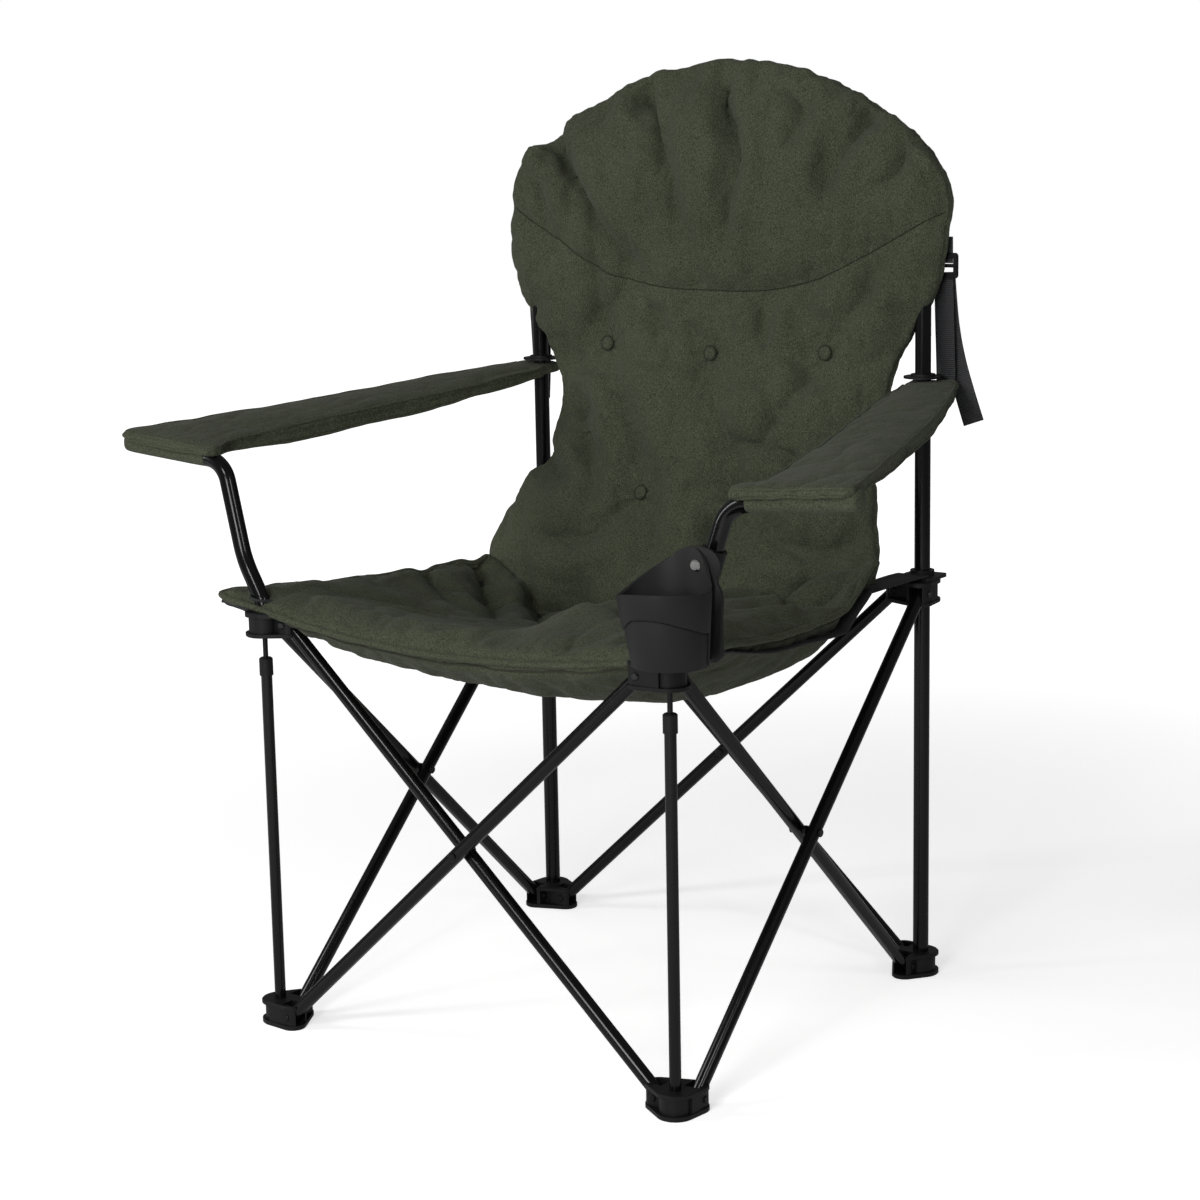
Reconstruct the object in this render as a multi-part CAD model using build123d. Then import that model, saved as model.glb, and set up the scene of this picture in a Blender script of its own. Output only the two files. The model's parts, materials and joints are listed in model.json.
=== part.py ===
"""Folding camp chair: a quad-fold tube frame, a padded seat and back, two armrests and a cup holder.

Millimetres. X points to the sitter's left, Y to the back of the chair and Z up. The floor is Z = 0 and
the origin lies under the middle of the chair. Pieces are drawn about the middle of the leg frame, in the
opened-out state, and moved to the origin when they are written.
"""

from build123d import *
import math
import os
from dataclasses import dataclass

# Crossed legs
LEG_SPAN = 504.0  # level distance between the two pivots of a leg
LEG_RISE = 467.0  # height between the two pivots of a leg
LEG_DIA = 16.0
LEG_WALL = 1.2
LANE_GAP = 4.0  # between the two legs of a crossed pair
LEG_END_ROOM = 0.2  # extra radius of the rounded leg end over the tube

# Corner mouldings: four feet and four hubs share one shape
BLOCK_HEIGHT = 29.0
BASE_THICK = 5.5
TOP_THICK = 4.5
PIVOT_REACH_X = 28.0  # from the corner's pole to the pivot of its front or rear leg
PIVOT_REACH_Y = 24.0  # from the corner's pole to the pivot of its side leg
CORNER_RADIUS = 22.0  # plate edge round the pole
BAY_RADIUS = 15.0  # plate edge round a leg pivot
CHEEK_THICK = 4.0
CHEEK_INSET = 1.0
PLATE_CHAMFER = 1.0
SLOT_CLEAR = 0.5
SLOT_END_CLEAR = 1.0

# Pins and cross rivets
PIN_DIA = 5.0
PIN_HEAD_DIA = 8.4
PIN_HEAD_HEIGHT = 2.0
RIVET_HEAD_DIA = 10.0
SPACER_DIA = 12.0
PRESS_FIT = 0.05
RUN_FIT = 0.1
RUN_GAP = 0.3

# Back poles, front struts and arm posts
POLE_DIA = 19.0
POLE_WALL = 1.2
POLE_TOP = 970.0
CAP_LID = 5.0
CAP_PLUG = 14.0
SLIDE_CLEAR = 0.4
STRUT_DIA = 13.0
STRUT_WALL = 1.2
STRUT_TOP = 434.0
COLLAR_DIA = 16.0
COLLAR_LENGTH = 21.0
COLLAR_LID = 7.0
ROD_DIA = 6.0
ROD_SOCKET = 12.0
ROD_LENGTH = 299.0
POST_DIA = 19.0
POST_WALL = 1.2
POST_SOCKET = 14.0
POST_STRAIGHT = 10.0  # from the hub's top to the foot bend's corner
POST_KNEE_OUT = 31.0  # knee of the post, outwards and back from the hub's axis
POST_KNEE_BACK = 5.0
POST_KNEE_Z = 552.0
ARM_BEND_OUT = 65.0  # bend under the armrest
ARM_BEND_BACK = 14.0
ARM_BEND_Z = 663.0
ARM_BAR = 148.0  # level bar in the armrest pocket
ARM_BAR_RISE = 15.0
POST_FOOT_RADIUS = 24.0
POST_KNEE_RADIUS = 120.0
POST_BEND_RADIUS = 34.0

# Armrests
ARM_FRONT_OVER = 16.0  # fabric in front of the bar
ARM_FRONT_HALF = 83.0
ARM_FRONT_ROUND = 9.0  # front edge narrower than the bar's section, each side
ARM_REAR_HALF = 33.0
ARM_FRONT_THICK = 27.0
ARM_REAR_THICK = 16.0
ARM_MID_SAG = 6.0
ARM_EDGE_SHARE = 0.5  # edge thickness over middle thickness
ARM_REAR_Z = 728.0
ARM_REAR_OUT = 5.0  # middle of the armrest's rear end, outside the pole
POCKET_CLEAR = 0.5
RING_DIA = 46.0
RING_THICK = 2.5
RING_COLLAR_DIA = 29.0
RING_COLLAR_HEIGHT = 5.0

# Seat pad, its sling and the rear corner plates
SEAT_FOLD_GAP = 1.0  # between the front and rear halves at the fold line
SEAT_REAR_Y = 164.0
SEAT_FRONT_OVER = 15.0  # pad in front of the front poles
SEAT_FLAP_OVER = 56.0  # corner flap's tip, outside the poles' axes
SEAT_SIDE_OVER = 9.0  # pad's side edge, outside the poles' axes
SEAT_DIP_FRONT = 28.0  # middle of the pad under its side edges
SEAT_DIP_MIDDLE = 50.0
SEAT_DIP_REAR = 58.0
SEAT_PAD_THICK = 46.0
SEAT_FRONT_THICK = 40.0
SEAT_EDGE_THICK = 8.0
SEAT_END_SHARE = 0.5  # thickness left at the drawn-in ends
SEAT_FLAP_RUN = 62.0  # corner flap, front to back
SLING_THICK = 1.6
SLING_EDGE = 6.0  # sling past the pad's sides
LAYER_GAP = 0.4
SLING_TAB_WIDTH = 30.0
PLATE_SIDE = 46.0
PLATE_THICK = 4.0
PLATE_ROUND = 6.0
PLATE_COLLAR_DIA = 29.0
PLATE_COLLAR_HEIGHT = 6.0
POST_HOLE_CLEAR = 2.0

# Back pad: its level sections from foot to dome, as rise, half-width and lean against the poles
BACK_FOOT_DROP = 44.0  # under the hubs' tops
BACK_ANKLE_RISE = 10.0  # over the hubs' tops
BACK_FLARE_RISE = 54.0
BACK_LOIN_RISE = 129.0
BACK_WAIST_DROP = 28.0  # under the armrests' rear ends
BACK_NECK_RISE = 32.0  # over the armrests' rear ends
BACK_WIDEST_DROP = 50.0  # under the poles' tops
BACK_SHOULDER_SHARE = 0.44  # of the way from the neck to the widest section
BACK_DOME_RISE = 189.0  # over the widest section
BACK_DOME_STEPS = 4
BACK_DOME_END = 80.0  # the dome's last section, in degrees round its ellipse
BACK_FOOT_IN = 84.0  # edges inside the poles' axes
BACK_ANKLE_IN = 44.0
BACK_LOIN_IN = 38.0
BACK_WAIST_IN = 44.0
BACK_NECK_IN = 30.0
BACK_FLARE_OUT = 5.0  # edges outside the poles' axes
BACK_SHOULDER_OUT = 16.0
BACK_WIDEST_OUT = 39.0
BACK_FOOT_AHEAD = 88.0  # middle in front of the poles' axes
BACK_ANKLE_AHEAD = 84.0
BACK_FLARE_AHEAD = 76.0
BACK_LOIN_AHEAD = 52.0
BACK_WAIST_AHEAD = 28.0
BACK_NECK_AHEAD = 12.0
BACK_TOP_BEHIND = 32.0  # dome's top behind the poles' axes
BACK_WRAP = 18.0  # edges behind the middle, at the waist
BACK_FOOT_SHARE = 0.6  # thickness left at the foot
BACK_PAD_THICK = 52.0
BACK_EDGE_THICK = 24.0
TUFT_RADIUS = 30.0
TUFT_DEPTH = 10.0
BUTTON_DIA = 20.0
BUTTON_HEIGHT = 5.0
UPPER_TUFT_DROP = 210.0  # under the poles' tops
UPPER_TUFT_X = 159.0
LOWER_TUFT_RISE = 89.0  # over the hubs' tops
LOWER_TUFT_X = 72.0
SEAM_OUT = 5.0  # seam's ends, outside the poles' axes
SEAM_END_DROP = 58.0  # under the poles' tops
SEAM_LOW_DROP = 136.0
SEAM_RADIUS = 6.0
SEAM_STANDOFF = 2.5

# Webbing straps and ladder-lock buckles
STRAP_WIDTH = 25.0
STRAP_THICK = 1.6
STRAP_OUT = 18.0  # strap's middle, outside the pole
STRAP_BACK = 15.5  # strap's front face, behind the pole's axis
STRAP_LAP = 12.0  # sewn length on the armrest's end
BUCKLE_DROP = 102.0  # under the poles' tops
BUCKLE_WIDTH = 36.0
BUCKLE_HEIGHT = 30.0
BUCKLE_THICK = 6.0
BUCKLE_SLOT = 6.0
BUCKLE_SLOT_WIDTH = 28.0
BUCKLE_BAR = 4.0
BUCKLE_ROUND = 4.0
STRAP_ANCHOR = 34.0  # anchor web above the buckle
TAIL_GAP = 4.2
TAIL_FIRST_DROP = 66.0
TAIL_SECOND_DROP = 124.0
TAIL_END_DROP = 180.0
TAIL_FIRST_SWING = 3.0
TAIL_SECOND_SWING = 14.0
TAIL_END_SWING = 34.0
TAIL_BEND_RADIUS = 90.0
RECESS_CLEAR = 0.5

# Cup holder on the right arm post
CUP_TOP_DIA = 100.0
CUP_BOTTOM_DIA = 80.0
CUP_HEIGHT = 85.0
CUP_WALL = 2.5
CUP_FLOOR = 3.0
CUP_FLOOR_Z = 500.0
CUP_BAND_HEIGHT = 32.0
CUP_BAND_WAVE = 8.0  # rise and fall of the band's lower edge
CUP_BAND_PROUD = 1.8
CUP_SHIFT = -8.0  # cup's middle from the post, sideways
HANDLE_SLOT = 26.0
HANDLE_SLOT_FLOOR = 14.0
DRAIN_DIA = 10.0
EAR_WIDTH = 46.0
EAR_TOP_Z = 632.0
EAR_THICK = 4.0
EAR_TIP_RADIUS = 6.0  # low corners of the wall that rises to the ear
EAR_SHOULDER_RADIUS = 22.0  # round of the rising wall over the cup's left rim
EAR_SHOULDER_RISE = 9.0
CLAMP_Z = 604.0
CLAMP_HEIGHT = 26.0
CLAMP_WALL = 4.0
CLAMP_PAD = 12.0
CLAMP_PAD_WIDTH = 22.0
CUP_RIVET_DIA = 6.0
CUP_RIVET_HEAD_DIA = 12.0
CUP_RIVET_HEAD_HEIGHT = 3.0

# The middle of the leg frame, behind the origin
FRAME_BACK = 38.0

# Places worked out from the sizes above
LANE = (LEG_DIA + LANE_GAP) / 2
LEG_LENGTH = math.hypot(LEG_SPAN, LEG_RISE)
LEG_LEAN = math.degrees(math.atan2(LEG_SPAN, LEG_RISE))
POLE_X = LEG_SPAN / 2 + PIVOT_REACH_X
POLE_Y = LEG_SPAN / 2 + PIVOT_REACH_Y
PIVOT_LOW = BLOCK_HEIGHT / 2
PIVOT_HIGH = PIVOT_LOW + LEG_RISE
HUB_BOTTOM = PIVOT_HIGH - BLOCK_HEIGHT / 2
HUB_TOP = HUB_BOTTOM + BLOCK_HEIGHT
SLOT_WIDTH = LEG_DIA + 2 * SLOT_CLEAR
BAY_HALF = SLOT_WIDTH / 2 + CHEEK_THICK
FAR = 4 * BLOCK_HEIGHT
SEAT_UNDER = HUB_TOP + LAYER_GAP + SLING_THICK + LAYER_GAP
SEAT_EDGE_Z = SEAT_UNDER + SEAT_EDGE_THICK
SEAT_SIDE_HALF = POLE_X + SEAT_SIDE_OVER
SEAT_FLAP_HALF = POLE_X + SEAT_FLAP_OVER
STRAP_X = POLE_X + STRAP_OUT
STRAP_Y = POLE_Y + STRAP_BACK
BUCKLE_Z = POLE_TOP - BUCKLE_DROP
ARM_REAR_Y = POLE_Y + RING_DIA / 2 + LAYER_GAP
STRAP_FALL = BUCKLE_Z - ARM_REAR_Z - ARM_REAR_THICK / 2
STRAP_RAKE = math.degrees(math.atan2(ARM_REAR_Y + LAYER_GAP - STRAP_Y, STRAP_FALL))


@dataclass(frozen=True)
class Corner:
    """One corner of the frame: side is -1 left or 1 right, end is -1 front or 1 rear."""

    name: str
    side: int
    end: int

    @property
    def turn(self):
        """1 where the front or rear leg of the foot runs in the outer lane, else -1."""
        return self.side * self.end

    def place(self, shape):
        """Moves a shape drawn in inward coordinates about the pole to this corner."""
        turned = shape if self.side < 0 else mirror(shape, about=Plane.YZ)
        turned = turned if self.end < 0 else mirror(turned, about=Plane.XZ)
        return Pos(self.side * POLE_X, self.end * POLE_Y, 0) * turned


FRONT_LEFT = Corner("front_left", -1, -1)
FRONT_RIGHT = Corner("front_right", 1, -1)
REAR_LEFT = Corner("rear_left", -1, 1)
REAR_RIGHT = Corner("rear_right", 1, 1)
CORNERS = (FRONT_LEFT, FRONT_RIGHT, REAR_LEFT, REAR_RIGHT)
SIDES = {"left": -1, "right": 1}


def span_box(x, y, z):
    """A box between two values on each axis."""
    size = [span[1] - span[0] for span in (x, y, z)]
    middle = [(span[0] + span[1]) / 2 for span in (x, y, z)]
    return Pos(*middle) * Box(*size)


def upright(diameter, low, high):
    """A round bar on the Z axis."""
    return Pos(0, 0, (low + high) / 2) * Cylinder(diameter / 2, high - low)


def pipe(diameter, wall, low, high):
    """A round tube on the Z axis."""
    return upright(diameter, low, high) - upright(diameter - 2 * wall, low, high)


def pan_head(diameter, height):
    """A flat head that stands on Z = 0, with a bevelled rim."""
    disc = upright(diameter, 0, height)
    return chamfer(disc.edges().group_by(Axis.Z)[-1], height / 2)


def dome_head(diameter, height):
    """A domed head that stands on Z = 0: a disc rounded off by a large ball."""
    crown = height * 2 / 3
    ball = ((diameter / 2) ** 2 + crown**2) / (2 * crown)
    return upright(diameter, 0, height) & Pos(0, 0, height - ball) * Sphere(ball)


def headed_pin(diameter, length, head_diameter, head_height):
    """A pin along Z with a head on each end, its middle at the origin."""
    head = Pos(0, 0, length / 2) * pan_head(head_diameter, head_height)
    return Pos(0, 0, -length / 2) * upright(diameter, 0, length) + head + mirror(head, about=Plane.XY)


def corner_outline(lane_x, lane_y, inset):
    """The rounded plan of a corner moulding, pulled in by an inset."""
    rounds = [
        Circle(CORNER_RADIUS - inset),
        Pos(PIVOT_REACH_X, lane_x) * Circle(BAY_RADIUS - inset),
        Pos(lane_y, PIVOT_REACH_Y) * Circle(BAY_RADIUS - inset),
    ]
    return make_hull([ring.edge() for ring in rounds])


def corner_block(lane_x, lane_y):
    """A corner moulding with its base down: two plates, a pole boss and two slotted leg bays."""
    plan = corner_outline(lane_x, lane_y, 0)
    base = extrude(plan, BASE_THICK)
    base = chamfer(base.edges().group_by(Axis.Z)[0], PLATE_CHAMFER)
    top = Pos(0, 0, BLOCK_HEIGHT - TOP_THICK) * extrude(plan, TOP_THICK)
    top = chamfer(top.edges().group_by(Axis.Z)[-1], PLATE_CHAMFER)
    height = (0, BLOCK_HEIGHT)
    core = span_box((0, FAR), (lane_x - BAY_HALF, lane_x + BAY_HALF), height)
    core += span_box((lane_y - BAY_HALF, lane_y + BAY_HALF), (0, FAR), height)
    core += upright(2 * (CORNER_RADIUS - CHEEK_THICK), 0, BLOCK_HEIGHT)
    inner = Pos(0, 0, BASE_THICK / 2) * extrude(
        corner_outline(lane_x, lane_y, CHEEK_INSET), BLOCK_HEIGHT - (BASE_THICK + TOP_THICK) / 2
    )
    block = base + top + (core & inner)
    end = LEG_DIA / 2 + SLOT_END_CLEAR
    above = (BASE_THICK, FAR)
    half = SLOT_WIDTH / 2
    block -= span_box((PIVOT_REACH_X - end, FAR), (lane_x - half, lane_x + half), above)
    block -= span_box((lane_y - half, lane_y + half), (PIVOT_REACH_Y - end, FAR), above)
    hole = Cylinder(PIN_DIA / 2 + PRESS_FIT, 2 * BAY_HALF + LANE_GAP)
    block -= Pos(PIVOT_REACH_X, lane_x, BLOCK_HEIGHT / 2) * Rot(90, 0, 0) * hole
    block -= Pos(lane_y, PIVOT_REACH_Y, BLOCK_HEIGHT / 2) * Rot(0, 90, 0) * hole
    head_room = Cylinder(PIN_HEAD_DIA / 2 + RUN_GAP, PIN_HEAD_HEIGHT + RUN_GAP)
    for step in (-1, 1):
        away = Pos(0, 0, step * (BAY_HALF + (PIN_HEAD_HEIGHT + RUN_GAP) / 2)) * head_room
        block -= Pos(PIVOT_REACH_X, lane_x, BLOCK_HEIGHT / 2) * Rot(90, 0, 0) * away
        block -= Pos(lane_y, PIVOT_REACH_Y, BLOCK_HEIGHT / 2) * Rot(0, 90, 0) * away
    return block


def corner_pins(lane_x, lane_y):
    """The two leg pins of a corner moulding, across its bays."""
    pin = headed_pin(PIN_DIA, 2 * BAY_HALF, PIN_HEAD_DIA, PIN_HEAD_HEIGHT)
    across = Pos(PIVOT_REACH_X, lane_x, BLOCK_HEIGHT / 2) * Rot(90, 0, 0) * pin
    along = Pos(lane_y, PIVOT_REACH_Y, BLOCK_HEIGHT / 2) * Rot(0, 90, 0) * pin
    return [across, along]


def feet(parts):
    """The four feet and their pins."""
    for corner in CORNERS:
        lanes = (-LANE * corner.turn, LANE * corner.turn)
        bore = STRUT_DIA if corner.end < 0 else POLE_DIA
        foot = corner_block(*lanes) - upright(bore + 2 * PRESS_FIT, BASE_THICK, FAR)
        parts[f"{corner.name}_foot"] = corner.place(foot)
        parts[f"{corner.name}_foot_pins"] = Compound([corner.place(pin) for pin in corner_pins(*lanes)])


def hubs(parts):
    """The two fixed front hubs and the two rear hubs that slide on the back poles."""
    for corner in CORNERS:
        lanes = (LANE * corner.turn, -LANE * corner.turn)
        hub = corner_block(*lanes)
        if corner.end < 0:
            hub -= upright(POST_DIA + 2 * PRESS_FIT, -FAR, POST_SOCKET)
            hub -= upright(ROD_DIA + 2 * PRESS_FIT, BLOCK_HEIGHT - ROD_SOCKET, FAR)
        else:
            hub -= upright(POLE_DIA + 2 * SLIDE_CLEAR, -FAR, FAR)
        lift = Pos(0, 0, HUB_TOP)
        parts[f"{corner.name}_hub"] = corner.place(lift * mirror(hub, about=Plane.XY))
        pins = [lift * mirror(pin, about=Plane.XY) for pin in corner_pins(*lanes)]
        parts[f"{corner.name}_hub_pins"] = Compound([corner.place(pin) for pin in pins])


def leg_tube():
    """A leg on the Z axis between its pivots, with rounded ends, drilled for its pins along Y."""
    end = LEG_DIA / 2 + LEG_END_ROOM
    tube = pipe(LEG_DIA, LEG_WALL, -end, LEG_LENGTH + end)
    around = Rot(90, 0, 0) * Cylinder(end, 2 * LEG_DIA)
    waste = span_box((-LEG_DIA, LEG_DIA), (-LEG_DIA, LEG_DIA), (-2 * end, 0)) - around
    tube -= waste
    tube -= Pos(0, 0, LEG_LENGTH) * mirror(waste, about=Plane.XY)
    hole = Rot(90, 0, 0) * Cylinder(PIN_DIA / 2 + RUN_FIT, 2 * LEG_DIA)
    for place in (0, LEG_LENGTH / 2, LEG_LENGTH):
        tube -= Pos(0, 0, place) * hole
    return tube


def cross_rivet():
    """The rivet of a crossed pair along Y, with the spacer between the two legs."""
    length = 2 * LEG_DIA + LANE_GAP + 2 * RUN_GAP
    rivet = headed_pin(PIN_DIA, length, RIVET_HEAD_DIA, PIN_HEAD_HEIGHT)
    rivet += Cylinder(SPACER_DIA / 2, LANE_GAP - 2 * RUN_GAP)
    return Rot(90, 0, 0) * rivet


def legs(parts):
    """Eight legs in four crossed pairs, and the rivet at each crossing."""
    tube = leg_tube()
    rivet = Pos(0, 0, PIVOT_LOW + LEG_RISE / 2) * cross_rivet()
    quarter = Rot(0, 0, 90)
    foot_x, foot_y = LEG_SPAN / 2, LEG_SPAN / 2
    for name, end in (("front", -1), ("rear", 1)):
        for lane, offset in (("outer", LANE), ("inner", -LANE)):
            side = end if lane == "outer" else -end
            spot = Pos(side * foot_x, end * (POLE_Y + offset), PIVOT_LOW)
            parts[f"{name}_{lane}_leg"] = spot * Rot(0, -side * LEG_LEAN, 0) * tube
        parts[f"{name}_cross_rivet"] = Pos(0, end * POLE_Y, 0) * rivet
    for name, side in SIDES.items():
        for lane, offset in (("outer", LANE), ("inner", -LANE)):
            end = -side if lane == "outer" else side
            spot = Pos(side * (POLE_X + offset), end * foot_y, PIVOT_LOW)
            parts[f"{name}_{lane}_leg"] = spot * Rot(end * LEG_LEAN, 0, 0) * quarter * tube
        parts[f"{name}_cross_rivet"] = Pos(side * POLE_X, 0, 0) * quarter * rivet


def back_poles(parts):
    """The two back poles and the plug caps on their tops."""
    for name, side in SIDES.items():
        spot = Pos(side * POLE_X, POLE_Y, 0)
        parts[f"{name}_back_pole"] = spot * pipe(POLE_DIA, POLE_WALL, BASE_THICK, POLE_TOP)
        plug = upright(POLE_DIA - 2 * POLE_WALL - 2 * PRESS_FIT, POLE_TOP - CAP_PLUG, POLE_TOP)
        lid = Pos(0, 0, POLE_TOP) * pan_head(POLE_DIA, CAP_LID)
        parts[f"{name}_pole_cap"] = spot * (plug + lid)


def front_struts(parts):
    """The telescoping front struts: a tube in the foot, its collar, and a rod from the hub."""
    collar_low = STRUT_TOP + COLLAR_LID - COLLAR_LENGTH
    for name, side in SIDES.items():
        spot = Pos(side * POLE_X, -POLE_Y, 0)
        parts[f"front_{name}_strut_tube"] = spot * pipe(STRUT_DIA, STRUT_WALL, BASE_THICK, STRUT_TOP)
        collar = upright(COLLAR_DIA, collar_low, STRUT_TOP + COLLAR_LID)
        collar = chamfer(collar.edges().group_by(Axis.Z)[-1], (COLLAR_DIA - STRUT_DIA) / 2)
        collar -= upright(STRUT_DIA + 2 * PRESS_FIT, collar_low, STRUT_TOP)
        collar -= upright(ROD_DIA + 2 * SLIDE_CLEAR, STRUT_TOP, STRUT_TOP + COLLAR_LID)
        parts[f"front_{name}_strut_collar"] = spot * collar
        rod_top = HUB_BOTTOM + ROD_SOCKET
        parts[f"front_{name}_strut_rod"] = spot * upright(ROD_DIA, rod_top - ROD_LENGTH, rod_top)


def post_corners():
    """The corner points of the right arm post's bent axis."""
    foot_z = HUB_TOP - POST_SOCKET
    return [
        Vector(POLE_X, -POLE_Y, foot_z),
        Vector(POLE_X, -POLE_Y, HUB_TOP + POST_STRAIGHT),
        Vector(POLE_X + POST_KNEE_OUT, -POLE_Y + POST_KNEE_BACK, POST_KNEE_Z),
        Vector(POLE_X + ARM_BEND_OUT, -POLE_Y + ARM_BEND_BACK, ARM_BEND_Z),
        Vector(POLE_X + ARM_BEND_OUT + ARM_BAR, -POLE_Y + ARM_BEND_BACK, ARM_BEND_Z + ARM_BAR_RISE),
    ]


def post_solid(diameter):
    """A solid bar along the right arm post."""
    radii = [POST_FOOT_RADIUS, POST_KNEE_RADIUS, POST_BEND_RADIUS]
    path = FilletPolyline(*post_corners(), radius=radii)
    return sweep(Plane(path @ 0, z_dir=path % 0) * Circle(diameter / 2), path=path)


def arm_posts(parts):
    """The two bent posts that carry the front of the armrests."""
    post = post_solid(POST_DIA) - post_solid(POST_DIA - 2 * POST_WALL)
    parts["right_arm_post"] = post
    parts["left_arm_post"] = mirror(post, about=Plane.YZ)


def stand(face, y):
    """A flat face stood up in XZ at a given Y."""
    return Pos(0, y, 0) * (Plane.XZ * face)


def lens(half, low_edge, low_middle, high_edge, high_middle, shift=0.0, roll=0.0):
    """A pillow-shaped section in XZ: two flat arcs joined by short upright edges."""
    left, right = shift - half, shift + half
    outline = ThreePointArc((left, low_edge - roll), (shift, low_middle), (right, low_edge + roll))
    outline += Line((right, low_edge + roll), (right, high_edge + roll))
    outline += ThreePointArc((right, high_edge + roll), (shift, high_middle), (left, high_edge - roll))
    outline += Line((left, high_edge - roll), (left, low_edge - roll))
    return make_face(outline)


def arm_section(y, share, half, thick, roll):
    """One cross-section of the right armrest, a share of the way from the bar to the rear end."""
    front_x = POLE_X + ARM_BEND_OUT + ARM_BAR / 2
    front_z = ARM_BEND_Z + ARM_BAR_RISE / 2
    x = front_x + (POLE_X + ARM_REAR_OUT - front_x) * share
    z = front_z + (ARM_REAR_Z - front_z) * share - ARM_MID_SAG * math.sin(math.pi * share)
    edge = thick * ARM_EDGE_SHARE / 2
    face = lens(half, z - edge, z - thick / 2, z + edge, z + thick / 2, x, roll)
    return stand(face, y)


def armrests(parts):
    """The padded armrests, with a pocket for the post's bar and a hole for the back pole."""
    bar_y = -POLE_Y + ARM_BEND_BACK
    span = ARM_REAR_Y - bar_y
    roll = ARM_BAR_RISE / 2 * ARM_FRONT_HALF / (ARM_BAR / 2)
    taper = ARM_FRONT_HALF - ARM_REAR_HALF
    thin = ARM_FRONT_THICK - ARM_REAR_THICK
    sections = [arm_section(bar_y - ARM_FRONT_OVER, 0, ARM_FRONT_HALF - ARM_FRONT_ROUND, ARM_FRONT_THICK / 2, roll)]
    for share in (0, 0.2, 0.5, 0.8, 1):
        half = ARM_FRONT_HALF - taper * share
        thick = ARM_FRONT_THICK - thin * share
        sections.append(arm_section(bar_y + span * share, share, half, thick, roll * (1 - share)))
    rest = loft(sections)
    rest -= post_solid(POST_DIA + 2 * POCKET_CLEAR)
    rest -= Pos(POLE_X, POLE_Y, 0) * upright(POLE_DIA + 2 * POCKET_CLEAR, HUB_TOP, POLE_TOP)
    ring_z = ARM_REAR_Z + ARM_REAR_THICK / 2 + LAYER_GAP
    ring = upright(RING_DIA, ring_z, ring_z + RING_THICK)
    ring += upright(RING_COLLAR_DIA, ring_z, ring_z + RING_COLLAR_HEIGHT)
    ring -= upright(POLE_DIA + 2 * POCKET_CLEAR, 0, POLE_TOP)
    for name, side in SIDES.items():
        parts[f"{name}_armrest"] = rest if side > 0 else mirror(rest, about=Plane.YZ)
        parts[f"{name}_arm_ring"] = Pos(side * POLE_X, POLE_Y, 0) * ring


def seat_section(y, flap, side, edge_z, dip, thick, edge_thick):
    """One cross-section of the seat in XZ: a sagging middle between flat side strips."""
    low = edge_z - edge_thick
    outline = Polyline((-side, edge_z), (-flap, edge_z), (-flap, low), (-side, low))
    outline += ThreePointArc((-side, low), (0, edge_z - dip - thick), (side, low))
    outline += Polyline((side, low), (flap, low), (flap, edge_z), (side, edge_z))
    outline += ThreePointArc((side, edge_z), (0, edge_z - dip), (-side, edge_z))
    return stand(make_face(outline), y)


def seat_stations():
    """The front and rear halves of the seat, as (y, flap, side, dip, thickness) along each."""
    front_y = -POLE_Y - SEAT_FRONT_OVER
    flap_y = front_y + SEAT_FLAP_RUN
    hub_side = POLE_X - PIVOT_REACH_X - BAY_RADIUS - SLOT_END_CLEAR
    mid_side = SEAT_SIDE_HALF - SLING_TAB_WIDTH
    thick, end_thick = SEAT_PAD_THICK, SEAT_PAD_THICK * SEAT_END_SHARE
    wide = SEAT_FLAP_HALF
    neck = (SEAT_FLAP_HALF + SEAT_SIDE_HALF) / 2
    fold = SEAT_FOLD_GAP / 2
    front = [
        (front_y, wide - SEAT_FRONT_OVER, hub_side, SEAT_DIP_FRONT, SEAT_FRONT_THICK * SEAT_END_SHARE),
        (front_y + SEAT_FRONT_OVER / 2, wide - SEAT_FRONT_OVER / 4, hub_side, SEAT_DIP_FRONT, SEAT_FRONT_THICK),
        (front_y + SEAT_FRONT_OVER, wide, hub_side, SEAT_DIP_FRONT, SEAT_FRONT_THICK),
        (flap_y, neck, hub_side, (SEAT_DIP_FRONT + SEAT_DIP_MIDDLE) / 2, thick),
        ((flap_y - fold) / 2, SEAT_SIDE_HALF, mid_side, SEAT_DIP_MIDDLE, thick),
        (-fold, SEAT_SIDE_HALF, mid_side, SEAT_DIP_MIDDLE, thick),
    ]
    rear = [
        (fold, SEAT_SIDE_HALF, mid_side, SEAT_DIP_MIDDLE, thick),
        (SEAT_REAR_Y / 2, SEAT_SIDE_HALF, mid_side, SEAT_DIP_MIDDLE, thick),
        (SEAT_REAR_Y - SEAT_EDGE_THICK, SEAT_SIDE_HALF, mid_side, SEAT_DIP_REAR, thick),
        (SEAT_REAR_Y, SEAT_SIDE_HALF - SLING_EDGE, mid_side, SEAT_DIP_REAR, end_thick),
    ]
    return {"front": front, "rear": rear}


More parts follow.
